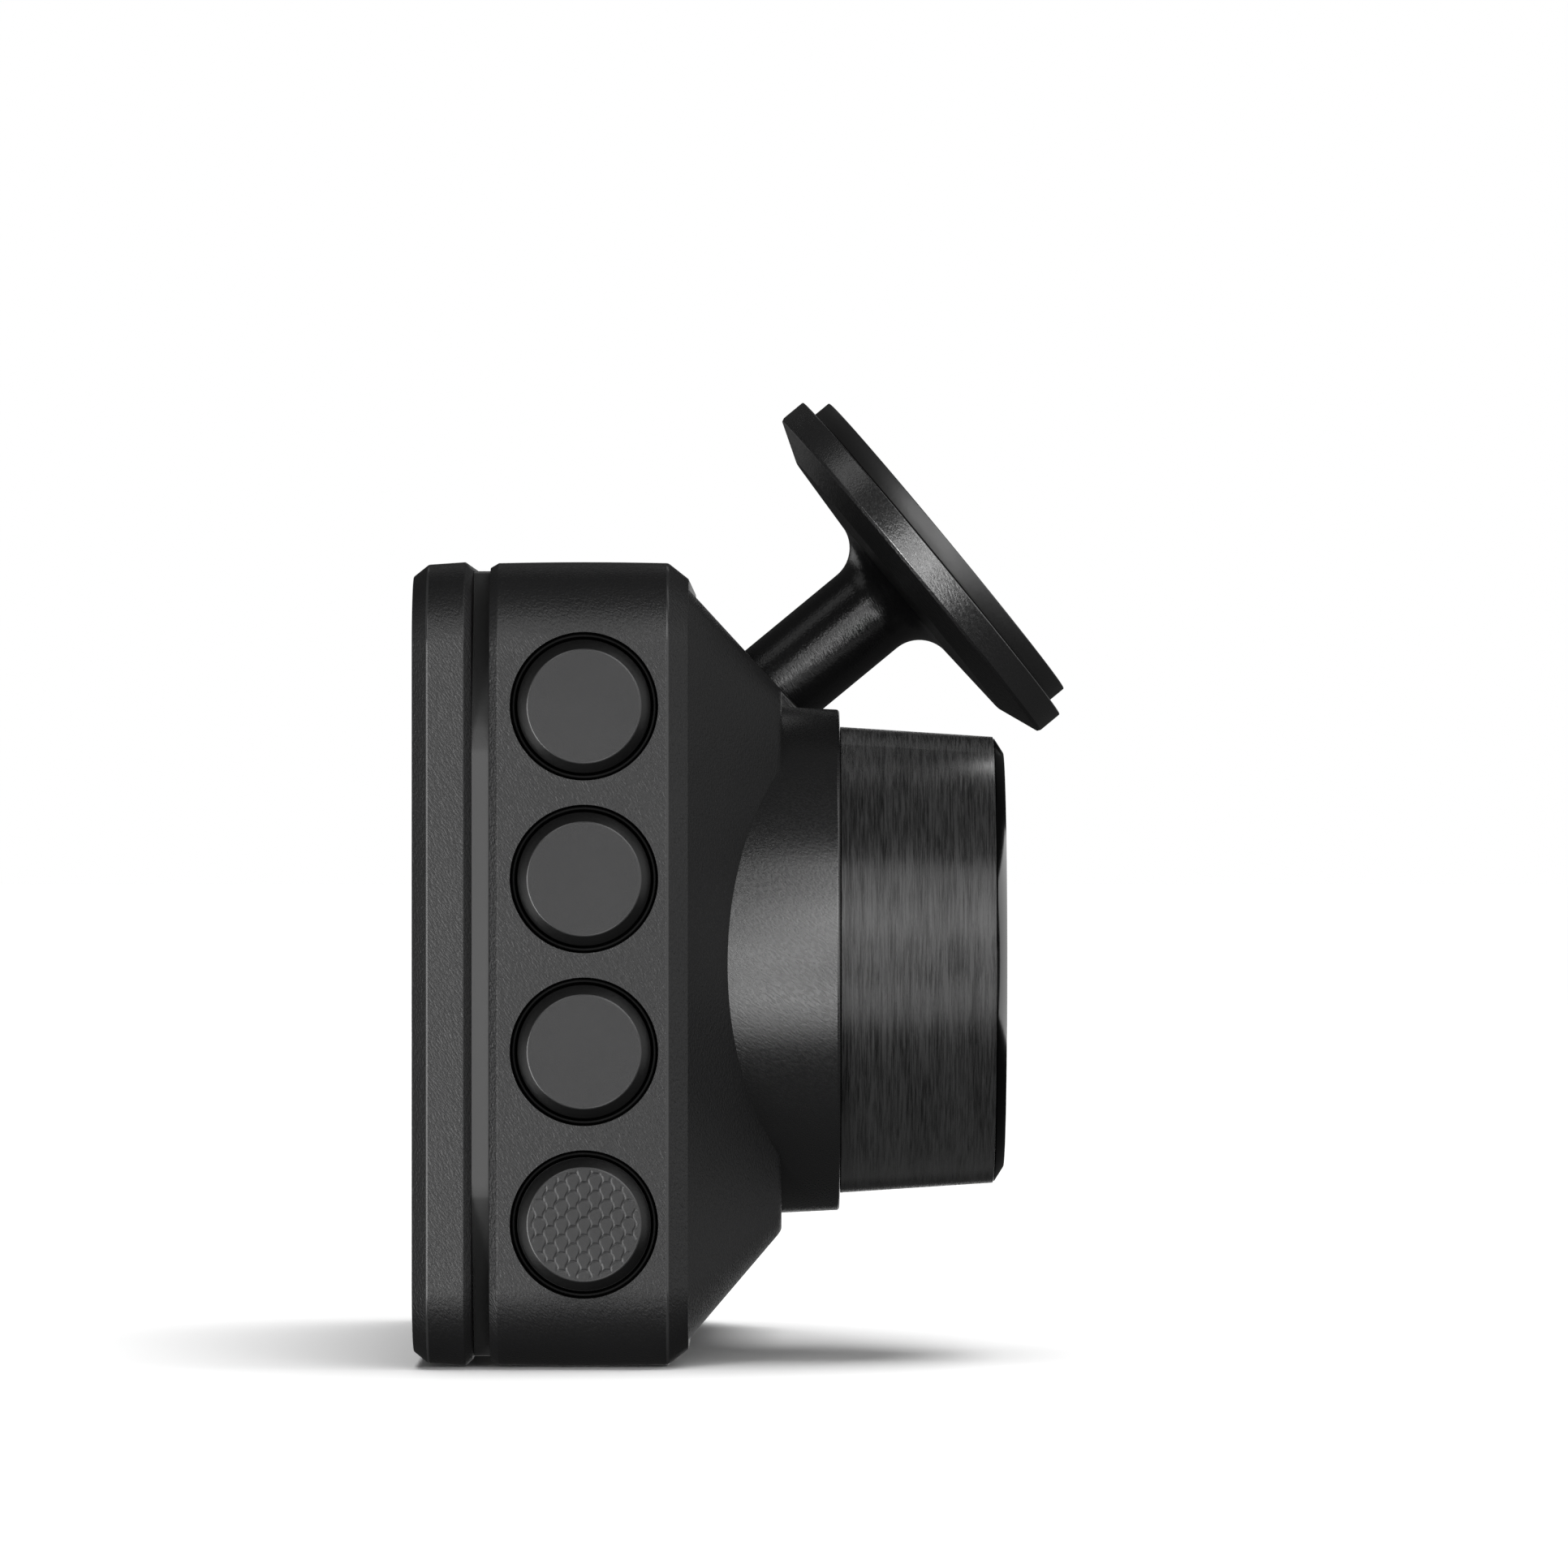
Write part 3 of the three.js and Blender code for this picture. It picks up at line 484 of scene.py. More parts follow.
def lens_coating():
    """Coated optical glass: dark inside, with a tinted coat, and a painted sheen in the base colour."""
    finish = Finish("lens_coating", IOR=1.55, Roughness=0.02, Coat_Weight=1.0, Coat_Roughness=0.02,
                    Coat_Tint=(0.55, 0.45, 1.0, 1.0))
    # Painted sheen: the base colour turns lighter and bluer towards glancing angles.
    facing = finish.node("ShaderNodeLayerWeight", {"Blend": 0.35}).outputs["Facing"]
    finish.feed("Base Color", finish.mix(facing, (0.004, 0.003, 0.012), (0.015, 0.02, 0.05)))
    return finish.material


def clear_glass():
    """The clear window in the middle of the cover glass."""
    finish = Finish("clear_glass", IOR=1.5, Roughness=0.0, Alpha=0.16)
    dust = finish.spread(finish.noise(finish.place(), 500.0, 3.0), 0.0, 1.0)
    finish.feed("Base Color", finish.mix(dust, (0.01, 0.01, 0.012), (0.02, 0.02, 0.022)))
    return finish.material


def display_face():
    """Display cover: a black border round a slightly greyer active area."""
    finish = Finish("display_face", IOR=1.5, Specular_IOR_Level=0.25)
    parts = finish.node("ShaderNodeSeparateXYZ", {"Vector": finish.place()}).outputs
    across = finish.math("ABSOLUTE", parts["Y"])
    upward = finish.math("ABSOLUTE", finish.math("SUBTRACT", parts["Z"], MID_Z * MM))
    within = [finish.spread(reach, 1.0, 0.0, half * MM, (half + 0.1) * MM)
              for reach, half in zip((across, upward), ACTIVE_AREA)]
    inside = finish.math("MULTIPLY", *within)
    smear = finish.noise(finish.place(), 70.0, 4.0, 0.6, 0.5)
    finish.feed("Base Color", finish.mix(inside, (0.003, 0.003, 0.0033), (0.011, 0.012, 0.014)))
    finish.feed("Roughness", finish.spread(smear, 0.03, 0.09))
    return finish.material


def status_lens():
    """Frosted light pipe."""
    finish = Finish("status_lens", IOR=1.49)
    frost = finish.noise(finish.place(), 5000.0, 2.0)
    finish.feed("Base Color", finish.mix(frost, (0.18, 0.34, 0.24), (0.28, 0.5, 0.36)))
    finish.feed("Roughness", finish.spread(frost, 0.3, 0.45))
    return finish.material


DARK_PLASTIC = grey(0.0075, 0.0003)
LIGHT_PLASTIC = grey(0.0105, 0.0003)
SHELL = grained_plastic("shell_grain", grey(0.0085, 0.0003), grey(0.0115, 0.0003), 0.38, 0.032, SHELL_GRAIN)
COLLAR = grained_plastic("collar_grain", DARK_PLASTIC, LIGHT_PLASTIC, 0.26, 0.008, COLLAR_GRAIN, 2.0)
ARM = grained_plastic("arm_grain", DARK_PLASTIC, LIGHT_PLASTIC, 0.2, 0.016, MOUNT_GRAIN, 1.7)
DISC = grained_plastic("disc_grain", DARK_PLASTIC, LIGHT_PLASTIC, 0.24, 0.015, MOUNT_GRAIN, 2.6)
PAD = satin_plastic("pad_face", grey(0.011, 0.0002), grey(0.014, 0.0002), 0.38, 0.006, IOR=2.0)
# Painted highlight: a lighter, glossier copy of the shell finish for the faces of rounded edges, so that they
# show bright lines.
EDGE_HIGHLIGHT = satin_plastic("edge_painted_highlight", grey(0.03, 0.0005), grey(0.036, 0.0005), 0.2, 0.002)
BUTTON = satin_plastic("button_satin", grey(0.016, 0.0005), grey(0.02, 0.0005), 0.32, 0.012)
# Painted shade: a darker copy of the button finish for the sloping side and the body down in the hole.
BUTTON_SIDE_SHADE = satin_plastic("button_side_painted_shade", grey(0.004), grey(0.006), 0.32, 0.006)
# Painted shade: near black rubber with little shine for the skirt, so that the floor of the gap round each
# button reads as dark shadow.
SKIRT_SHADE = satin_plastic("skirt_rubber_painted_shade", grey(0.001), grey(0.0015), 0.9, Specular_IOR_Level=0.1)
# Painted shade: the seal's rubber is darker than plain rubber, so that the gap it sits in reads as dark
# shadow.
SEAL_SHADE = satin_plastic("seal_rubber_painted_shade", grey(0.002), grey(0.003), 0.7, Specular_IOR_Level=0.2)
RUBBER = satin_plastic("black_rubber", grey(0.01), grey(0.014), 0.75, 0.008)
INSERT = satin_plastic("insert_satin", grey(0.008), grey(0.011), 0.55)
CHIP = satin_plastic("chip_package", grey(0.006, 0.001), grey(0.011, 0.001), 0.5)
BAND = polished_black("band_gloss", grey(0.058), grey(0.064), 0.16)
GLASS = polished_black("cover_black", grey(0.0006, 0.0001), grey(0.001, 0.0001), 0.02)
GLASS_EDGE = polished_black("cover_chamfer", grey(0.0006, 0.0001), grey(0.001, 0.0001), 0.08, 1.2)
RING = brushed_ring()
STEEL = worn_metal("plated_steel", (0.32, 0.32, 0.33), (0.5, 0.5, 0.51), 0.32)
ALUMINIUM = worn_metal("satin_aluminium", (0.5, 0.51, 0.52), (0.62, 0.63, 0.64), 0.4)
GOLD = worn_metal("gold_contact", (0.6, 0.4, 0.14), (0.75, 0.52, 0.2), 0.28)
BOARD = circuit_board()
LENS = lens_coating()
WINDOW = clear_glass()
DISPLAY = display_face()
STATUS = status_lens()


def put(piece, material, body, slot, *nodes):
    """Gives a piece its material, ties it to a body and hides the nodes it replaces; the slot is not used."""
    if not any(piece.data.materials):
        piece.data.materials.clear()
        piece.data.materials.append(material)
    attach(piece, body)
    if nodes:
        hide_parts(*nodes)


def paint_edge_highlight(piece, chosen):
    """Gives the faces of a rounded edge a painted highlight, a lighter and glossier finish; chosen(centre in
    mm) picks them.
    """
    own = piece.data.materials
    if EDGE_HIGHLIGHT.name not in own:
        own.append(EDGE_HIGHLIGHT)
    index = own.find(EDGE_HIGHLIGHT.name)
    for face in piece.data.polygons:
        if chosen(face.center / MM):
            face.material_index = index


# ------------------------------------------------------------------ shells

def profile_loft(name, profile, outline):
    """A solid whose edge follows (X, inset) pairs round an outline."""
    return loft(name, [(x, outline(inset)) for x, inset in profile])


def bezel():
    """The frame round the display, with its window and the hole of the status light."""
    profile = filleted([(-10, 3), (-10, 0.87), (BEZEL_EDGE_X, 0.15), (-6.9, 0), (-6.46, 0.42), (-6.46, 3)],
                       {1: 0.14, 2: 0.24, 3: 0.12, 4: 0.05})
    piece = profile_loft("bezel_frame", profile, body_outline)
    piece.data.materials.append(SHELL)
    # Painted highlight on the faces of the rounded edge at the rear chamfer.
    paint_edge_highlight(piece, lambda centre: abs(centre.x - BEZEL_EDGE_X) < HIGHLIGHT_REACH)
    lip = filleted([(-10.5, -0.36), (-10, -0.3), (-9.75, 0), (-6, 0)], {1: 0.1, 2: 0.1})

    half_width, half_height, corner = WINDOW_SIZE

    def window(inset):
        low, high = MID_Z - half_height + inset, MID_Z + half_height - inset
        return rounded_rect(half_width - inset, low, high, corner, 8)

    light_hole = turned("light_hole", rod(1.0, -11, -5), STATUS_LIGHT_FOOT, X_AXIS, 48)
    combine(piece, [profile_loft("window", lip, window), light_hole], "DIFFERENCE")
    shade(piece)
    even_normals(piece)
    put(piece, SHELL, "camera", "shell", "rear_bezel")


def band_outline(inset):
    """The recessed band's outline: the rectangle's corners are cut by long sloping facets."""
    side = BODY_WIDTH / 2 - inset
    quarter = [(side, 13.74), (24.4 - (inset - 0.5), MID_Z - inset)]
    upper = quarter + [(-y, z) for y, z in reversed(quarter)]
    ring = upper + [(-y, -z) for y, z in upper]
    rounded = filleted(ring, {i: 5.0 if i % 4 in (0, 3) else 1.5 for i in range(8)}, True, 8)
    return [(y, z + MID_Z) for y, z in rounded]


def band():
    """The recessed band between the bezel and the housing."""
    piece = profile_loft("band_frame", [(-6.44, 0.5), (-5.42, 0.5)], band_outline)
    core = profile_loft("core", [(-6.3, 2.2), (-4.8, 2.2)], band_outline)
    combine(piece, [core], "UNION")
    opening = loft("opening", [(x, rounded_rect(25, MID_Z - 18.4, MID_Z + 18.4, 1, 6)) for x in (-7, -4)])
    holes = [turned("hole", [(0, -7), (1.7, -7), (1.7, -5.65), (1, -5.65), (1, -4), (0, -4)],
                    post, X_AXIS, 32) for post in SCREW_POSTS]
    combine(piece, [joined_tool("openings", [opening] + holes)], "DIFFERENCE")
    shade(piece)
    even_normals(piece)
    put(piece, BAND, "camera", "band", "mid_frame")


def pyramid_outline(travel):
    """The front pyramid's outline: 0 at its foot, 1 at its flat top."""
    return rounded_rect(*[a + (b - a) * travel for a, b in zip(PYRAMID_FOOT, PYRAMID_TOP)])


def pyramid():
    """The slopes in front of the housing, with the edge of the flat top rounded by a curve."""
    foot_x, top_x = PYRAMID_X
    edge = PYRAMID_EDGE
    stations = [(foot_x - 1, pyramid_outline(0)), (foot_x, pyramid_outline(0))]
    stations.append((foot_x + (top_x - foot_x) * (1 - edge), pyramid_outline(1 - edge)))
    for k in range(1, 6):
        t = k / 5
        x = (1 - t) ** 2 * (top_x - (top_x - foot_x) * edge) + (1 - (1 - t) ** 2) * top_x
        travel = (1 - t) ** 2 * (1 - edge) + 2 * t * (1 - t) + t * t * (1 + edge * 0.6)
        stations.append((x, pyramid_outline(travel)))
    return loft("pyramid", stations)


def socket_block():
    """The block that stands out of the top slope, cut square to the socket's axis."""
    fall = math.tan(SOCKET_ANGLE)
    surface = BALL_CENTRE + SOCKET_AXIS * SOCKET_DEPTH

    def height(x):
        return surface.z - (x - surface.x) / fall

    foot_x = PYRAMID_X[0]
    outline = [(6, BLOCK_LOW), (BLOCK_FRONT, BLOCK_LOW), (BLOCK_FRONT, height(BLOCK_FRONT)),
               (foot_x, height(foot_x)), (6, height(foot_x))]
    return prism("socket_block", outline, -BLOCK_HALF_WIDTH, BLOCK_HALF_WIDTH, bevel=0.16)


def collar():
    """The round foot of the lens, and the spigot that carries its ring."""
    profile = [(0, 6.6), (15.47, 6.6), (15.47, 11.95), (15.3, 15.48), (14.25, 15.5), (10.3, 15.5),
               (10.3, 18), (0, 18)]
    piece = turned("collar", filleted(profile, {3: 0.2, 4: 0.05}), LENS_FOOT, X_AXIS, 192)
    piece.data.materials.append(COLLAR)
    return piece


def socket_pocket():
    """The cup that the liner sits in, with its chamfered mouth."""
    lip = math.degrees(math.asin(POCKET_LIP / POCKET_RADIUS))
    profile = arc(0, 0, POCKET_RADIUS, -90, lip, 16)
    profile += [(POCKET_MOUTH, POCKET_LIP), (POCKET_MOUTH, SOCKET_DEPTH - 0.35),
                (POCKET_MOUTH + 0.35, SOCKET_DEPTH + 0.05), (POCKET_MOUTH + 0.35, 8), (0, 8)]
    return turned("pocket", profile, BALL_CENTRE, SOCKET_AXIS, 96)


def cavity():
    """The housing's room, less the boss behind the socket and the screw posts."""
    inner = rounded_rect(-SIDE_Y - WALL, WALL, BODY_HEIGHT - WALL, BODY_CORNER - WALL)
    room = loft("room", [(x, inner) for x in (-6.4, 5.0)])
    front = loft("front_room", [(4.99, rounded_rect(28.4, 2.6, 45.4, 3)),
                                (10.19, rounded_rect(19.6, 8.4, 39.6, 0.6))])
    combine(room, [front], "UNION")
    boss = turned("boss", rod(6.2, -6.2, 6.2), BALL_CENTRE, SOCKET_AXIS, 64)
    posts = [turned("post", rod(2.3, -3.9, 10.2), post, X_AXIS, 32) for post in SCREW_POSTS]
    combine(room, [boss, joined_tool("posts", posts)], "DIFFERENCE")
    return room


def button_hole(z):
    """The round opening of a button, through the side's wall."""
    profile = rod(BUTTON_HOLE, SIDE_Y - 1, SIDE_Y + WALL + 1)
    return turned("button_hole", profile, Vector((BUTTON_X, 0.0, z)), Y_AXIS, 128)


def front_shell():
    """The front housing: box, pyramid, lens foot and socket block, with all its openings."""
    crown = [(x, CROWN * (x - CROWN_X) ** 2) for x in (-3.6, -2.4, -1.2, 0, 1.2, 2.4, 3.6)]
    edges = [(-5.4, 3), (-5.4, 0.34), (-4.92, 0.06), *crown, (HOUSING_EDGE_X, 0.06), (6.42, 1.02), (6.42, 3)]
    profile = filleted(edges, {1: 0.05, 2: 0.12, len(edges) - 3: 0.28, len(edges) - 2: 0.12})
    piece = profile_loft("front_shell", profile, body_outline)
    piece.data.materials.append(SHELL)
    # Painted highlight on the faces of the rounded edge at the front chamfer.
    paint_edge_highlight(piece, lambda centre: abs(centre.x - HOUSING_EDGE_X) < HIGHLIGHT_REACH)
    combine(piece, [pyramid(), collar(), socket_block()], "UNION")
    bore = turned("bore", rod(9, 5, 19), LENS_FOOT, X_AXIS, 96)
    combine(piece, [cavity(), bore, socket_pocket()], "DIFFERENCE")
    outside = -SIDE_Y + 1
    inside = -SIDE_Y - WALL - 1
    holes = [button_hole(z) for z in BUTTON_HEIGHTS]
    holes.append(prism("port_hole", slot_outline(PORT_X, PORT_Z, 1.93, 4.77), inside, outside))
    holes.append(prism("card_hole", slot_outline(CARD_X, CARD_Z, 0.7, 6.1), inside, outside))
    holes.append(prism("sound_hole", arc(*SOUND_HOLE, 0, 337.5, 15), inside, outside))
    slot = rounded_rect(3.0, 0, 1.1, 0.54, 8)
    for i in range(GRILLE_COUNT):
        x, y = GRILLE_START[0], GRILLE_START[1] + GRILLE_PITCH * i
        holes.append(prism("grille_slot", [(x + a, y + b) for a, b in slot], -1, WALL + 1, upright=True))
    holes += [turned("screw_hole", rod(1, -5, 0), post, X_AXIS, 24) for post in SCREW_POSTS]
    combine(piece, [joined_tool("holes", holes)], "DIFFERENCE")
    shade(piece)
    even_normals(piece)
    put(piece, SHELL, "camera", "shell", "front_housing")


# ------------------------------------------------------------------ buttons

def scale_relief(arm, radius):
    """How deep a point of the face lies in the arched grooves between its staggered scales, in mm."""
    nearest = GROOVE_HALF_WIDTH
    middle = round(arm.x / SCALE_ACROSS)
    for column in (middle - 1, middle, middle + 1):
        shift = SCALE_UP / 2 if column % 2 else 0.0
        above = arm.z - shift - SCALE_UP * round((arm.z - shift) / SCALE_UP)
        if above > -0.62 * SCALE_RADIUS:
            reach = math.hypot(arm.x - column * SCALE_ACROSS, above)
            nearest = min(nearest, abs(reach - SCALE_RADIUS))
    rise = nearest / GROOVE_HALF_WIDTH
    rim = min(max((BUTTON_FACE - 0.1 - radius) / 0.1, 0.0), 1.0)
    return GROOVE_DEPTH * (1 - rise * rise * (3 - 2 * rise)) * rim


def buttons():
    """The buttons with their skirts and seals; the last one's face has scales."""
    flange = WALL + 0.3
    inner = BUTTON_BODY - 0.3
    skirt = [(inner, flange), (BUTTON_FLANGE, flange), (BUTTON_FLANGE, flange + 0.5), (inner, flange + 0.5),
             (inner, flange)]
    cap = filleted([(0, BUTTON_SUNK), (BUTTON_FACE, BUTTON_SUNK), (BUTTON_BODY, 0.42),
                    (BUTTON_BODY, flange + 0.1), (0, flange + 0.1)], {1: 0.18, 2: 0.05})
    rings = [(BUTTON_FACE * k / 112, BUTTON_SUNK) for k in range(1, 107)]
    for i, z in enumerate(BUTTON_HEIGHTS):
        foot = Vector((BUTTON_X, SIDE_Y, z))
        last = i == BUTTON_COUNT - 1
        profile = cap[:1] + rings + cap[1:] if last else cap
        piece = turned(f"button_cap_{i + 1}", profile, foot, Y_AXIS, 360 if last else 160,
                       relief=scale_relief if last else None)
        piece.data.materials.append(BUTTON)
        piece.data.materials.append(BUTTON_SIDE_SHADE)
        # Painted shade: faces that lie deeper than the face get the darker copy of the button finish.
        for face in piece.data.polygons:
            if face.center.y / MM - foot.y > 0.08:
                face.material_index = 1

        # Painted highlight on the rim of the face, and on the last button on the outer edge of its body.
        def edge(centre):
            reach = math.hypot(centre.x - foot.x, centre.z - z)
            outer = last and abs(reach - BUTTON_BODY) < 0.04 and centre.y < foot.y + 0.5
            return outer or abs(reach - BUTTON_FACE) < 0.1

        paint_edge_highlight(piece, edge)
        if not last:
            even_normals(piece)
        put(piece, BUTTON, f"button_{i + 1}", "button", f"button_{i + 1}")
        # The skirt carries painted shade: near black, so that the gap round the cap looks dark.
        sleeve = turned(f"button_skirt_{i + 1}", skirt, foot, Y_AXIS, 96)
        put(sleeve, SKIRT_SHADE, f"button_{i + 1}", "rubber")
        # The seal carries painted shade: darker than plain rubber, to match the shaded gap.
        seal = turned(f"button_seal_{i + 1}", arc(4.2, 0.6, 0.08, 0, 360, 12), foot, Y_AXIS, 96)
        put(seal, SEAL_SHADE, "camera", "rubber")


# ------------------------------------------------------------------ lens

def lens_parts():
    """The lens ring, the cover glass, the front lens and the baffle round it."""
    ring = turned("ring_sleeve", filleted(
        [(12.4, 15.53), (14.25, 15.53), (13.64, 24.86), (12.4, 24.86), (12.4, 15.53)], {1: 0.04, 2: 0.05}),
        LENS_FOOT, X_AXIS, 256)
    even_normals(ring)
    put(ring, RING, "camera", "brushed", "lens_ring")
    rim = turned("cover_rim", filleted(
        [(CLEAR_RADIUS, 24.0), (12.1, 24.0), (12.1, 24.9), (13.6, 24.9), (12.65, 25.5), (CLEAR_RADIUS, 25.5),
         (CLEAR_RADIUS, 24.0)], {3: 0.03, 4: 0.06}), LENS_FOOT, X_AXIS, 256)
    even_normals(rim)
    for material in (GLASS, GLASS_EDGE):
        rim.data.materials.append(material)
    for face in rim.data.polygons:
        is_chamfer = 24.92 < face.center.x / MM < 25.44
        face.material_index = 1 if is_chamfer else 0
    put(rim, GLASS, "camera", "glass", "cover_glass")
    window = turned("cover_window", rod(CLEAR_RADIUS - 0.02, 24.6, 25.5), LENS_FOOT, X_AXIS, 128)
    put(window, WINDOW, "camera", "glass")
    dome = [(FRONT_LENS_RADIUS * k / 16, 18.2 + 2.2 * (1 - (k / 16) ** 2)) for k in range(17)]
    back = [(FRONT_LENS_RADIUS * k / 8, 16.6 - 1.0 * (1 - (k / 8) ** 2)) for k in range(8, -1, -1)]
    front_lens = turned("front_element", dome + back, LENS_FOOT, X_AXIS, 128)
    put(front_lens, LENS, "camera", "lens", "front_lens")
    steps = [(7.9, 22.6)]
    for k in range(5):
        radius = 8.1 + 0.8 * k
        steps += [(radius, 23.0 + 0.14 * k), (radius + 0.7, 23.0 + 0.14 * k)]
    steps += [(11.9, 23.7), (11.9, 22.6), (7.9, 22.6)]
    baffle = turned("baffle_ring", steps, LENS_FOOT, X_AXIS, 128)
    put(baffle, INSERT, "camera", "insert", "light_baffle")


# ------------------------------------------------------------------ display and sockets

def display():
    """The display's cover glass."""
    profile = filleted([(-9.75, 3), (-9.75, 0), (-8.75, 0), (-8.75, 3)], 0.12)

    half_width, half_height, corner = DISPLAY_SIZE

    def outline(inset):
        low, high = MID_Z - half_height + inset, MID_Z + half_height - inset
        return rounded_rect(half_width - inset, low, high, max(corner - inset, 0.3), 8)

    piece = profile_loft("display_cover", profile, outline)
    even_normals(piece)
    put(piece, DISPLAY, "camera", "glass", "display_glass")


def sockets():
    """The power port and the memory card."""
    outer = -SIDE_Y - 0.3
    shell = prism("port_sleeve", slot_outline(PORT_X, PORT_Z, 1.63, 4.47), outer - 7.3, outer, bevel=0.08)
    room = prism("room", slot_outline(PORT_X, PORT_Z, 1.28, 4.12), outer - 6.95, outer + 1)
    combine(shell, [room], "DIFFERENCE")
    shade(shell)
    put(shell, STEEL, "camera", "steel", "port_shell")
    tongue = box("port_insert", (-1.02, 23.55, 29.65), (-0.32, 29.4, 36.35), bevel=0.1)
    put(tongue, INSERT, "camera", "insert", "port_tongue")
    pin_heights = [PORT_Z + 0.5 * k for k in range(-5, 6)]
    pins = [box("pin", (-0.33, 25.0, z - 0.13), (-0.29, 29.1, z + 0.13)) for z in pin_heights]
    contacts = joined_tool("port_contacts", pins)
    put(contacts, GOLD, "camera", "steel")
    card = box("card_body", (-1.6, 15.3, 8.5), (-0.8, 30.2, 19.5), bevel=0.12)
    notch = box("notch", (-2.5, 14, 18.2), (0.5, 21.7, 21))
    thumb = box("thumb", (-0.86, 28.9, 10.5), (-0.5, 29.4, 17.5))
    combine(card, [notch, thumb], "DIFFERENCE")
    shade(card)
    put(card, CHIP, "memory_card", "chip", "memory_card")


# ------------------------------------------------------------------ ball mount

def mount():
    """The arm with its disc and pad, the ball, and the cup that the ball turns in."""
    foot_radius = BALL_RADIUS + 0.2
    foot = [(radius, math.sqrt(foot_radius ** 2 - radius ** 2)) for radius in (1.8, 2.4, STEM_RADIUS)]
    disc = [(0, 9.8), (1.8, 9.8), *foot, (STEM_RADIUS, 12.9), (9.9, 13.33), (12.45, 14.28), (12.55, 14.5),
            (12.55, 16.03), (11.6, 16.03), (0, 16.03)]
    arm = turned("arm_and_disc", filleted(disc, {5: 2.2, 6: 0.4, 7: 0.1, 8: 0.12, 9: 0.08}, steps=14),
                 BALL_CENTRE, STEM_AXIS, 224)
    for material in (ARM, SHELL, DISC):
        arm.data.materials.append(material)
    for face in arm.data.polygons:
        reach = face.center / MM - BALL_CENTRE
        height = reach.dot(STEM_AXIS)
        radius = (reach - STEM_AXIS * height).length
        face.material_index = 2 if height > DISC_RIM_HEIGHT else 1 if radius > FLARE_RADIUS else 0
    even_normals(arm)
    put(arm, ARM, "mount_arm", "shell", "mount_arm")
    pad = turned("foam_pad", filleted(rod(11.48, 16.08, 17.25), 0.08), BALL_CENTRE, STEM_AXIS, 224)
    even_normals(pad)
    put(pad, PAD, "mount_arm", "pad", "adhesive_pad")
    ball = turned("steel_ball", arc(0, 0, BALL_RADIUS, -90, 90, 48), BALL_CENTRE, STEM_AXIS, 96)
    put(ball, STEEL, "mount_ball", "steel", "mount_ball")
    outer = math.degrees(math.asin(LINER_LIP / LINER_OUTER))
    inner = math.degrees(math.asin(LINER_LIP / LINER_INNER))
    shell = arc(0, 0, LINER_OUTER, -90, outer, 24) + arc(0, 0, LINER_INNER, inner, -90, 24)
    cup = turned("liner_cup", shell, BALL_CENTRE, SOCKET_AXIS, 96)
    put(cup, INSERT, "socket_liner", "insert", "socket_liner")


# ------------------------------------------------------------------ pieces kept from the CAD model

KEPT = {
    "shell": SHELL, "band": BAND, "glass": GLASS, "button": BUTTON, "brushed": RING, "lens": LENS,
    "insert": INSERT, "board": BOARD, "chip": CHIP, "steel": STEEL, "aluminium": ALUMINIUM,
    "rubber": RUBBER, "pad": PAD, "light": STATUS,
}


def paint_cad_nodes():
    """Gives every CAD node the material of its slot."""
    slots = {entry["node"]: entry["material_slot"] for entry in frame["record"]["subparts"]}
    for name, node in frame["nodes"].items():
        for place in node.material_slots:
            place.material = KEPT[slots[name]]


# ------------------------------------------------------------------ studio

# Soft panels round the object: azimuth and elevation of the middle, width and height in degrees as the
# object sees them, and radiance. Azimuth 0 is the camera's side, and the right of the picture is positive.
PANELS = {
    "left_softbox": (-29, -8, 18, 27, 8.2),
    "left_wide": (-50, -15, 24, 40, 2.2),
    "left_side": (-78, 0, 34, 60, 0.25),
    "upper_left": (-16, 27, 16, 24, 2.4),
    "lower_left": (-12, -7, 20, 54, 0.45),
    "front_low": (2, -12, 16, 44, 0.7),
    "front_foot": (7, -20, 8, 18, 1.7),
    "front_core": (3, -6, 6, 28, 2.2),
    "front_middle": (6, 10, 6, 20, 1.6),
    "front_upper": (8, 20, 12, 18, 1.4),
    "right_softbox": (24, 30, 32, 36, 2.0),
    "right_wide": (39, 9, 42, 42, 1.1),
    "right_side": (78, 2, 34, 36, 0.6),
    "right_high": (78, 50, 34, 40, 0.9),
    "back_right": (125, 8, 70, 50, 0.2),
    "back": (168, -2, 35, 27, 0.8),
    "back_left": (225, -2, 40, 27, 0.5),
    "back_top": (180, 42, 50, 12, 0.35),
}
# The pieces that a panel doesn't light.
UNLIT = {
    "upper_left": ("arm_and_disc",),
    "back_right": ("cover_rim",),
    "back": ("cover_rim", "arm_and_disc", "foam_pad"),
    "back_left": ("cover_rim",),
    "back_top": ("cover_rim",),
}
# Panels that light one piece alone: the piece, then the panel's setting. Only the piece itself and the
# front shell shade them.
KICKERS = {
    "rim_kicker": ("cover_rim", 118, 2, 30, 28, 6.5),
    "ring_top_kicker": ("ring_sleeve", 172, 57, 50, 12, 6.0),
    "ring_foot_kicker": ("ring_sleeve", 170, -75, 60, 70, 0.12),
    "stem_kicker": ("arm_and_disc", -60, 50, 34, 20, 0.35),
    "stem_front_kicker": ("arm_and_disc", -12, 12, 10, 12, 1.6),
}
PANEL_DISTANCE = 0.8             # metres
STUDIO_CENTRE = Vector((0.01, 0.0, 0.024))
WHITE_BACKDROP = 1.0             # what the camera sees behind the object
DIM_ROOM = 0.04                  # what lights the object from all round
FLOOR_HALF_SIZE = 3000
FLOOR_Z = -0.02


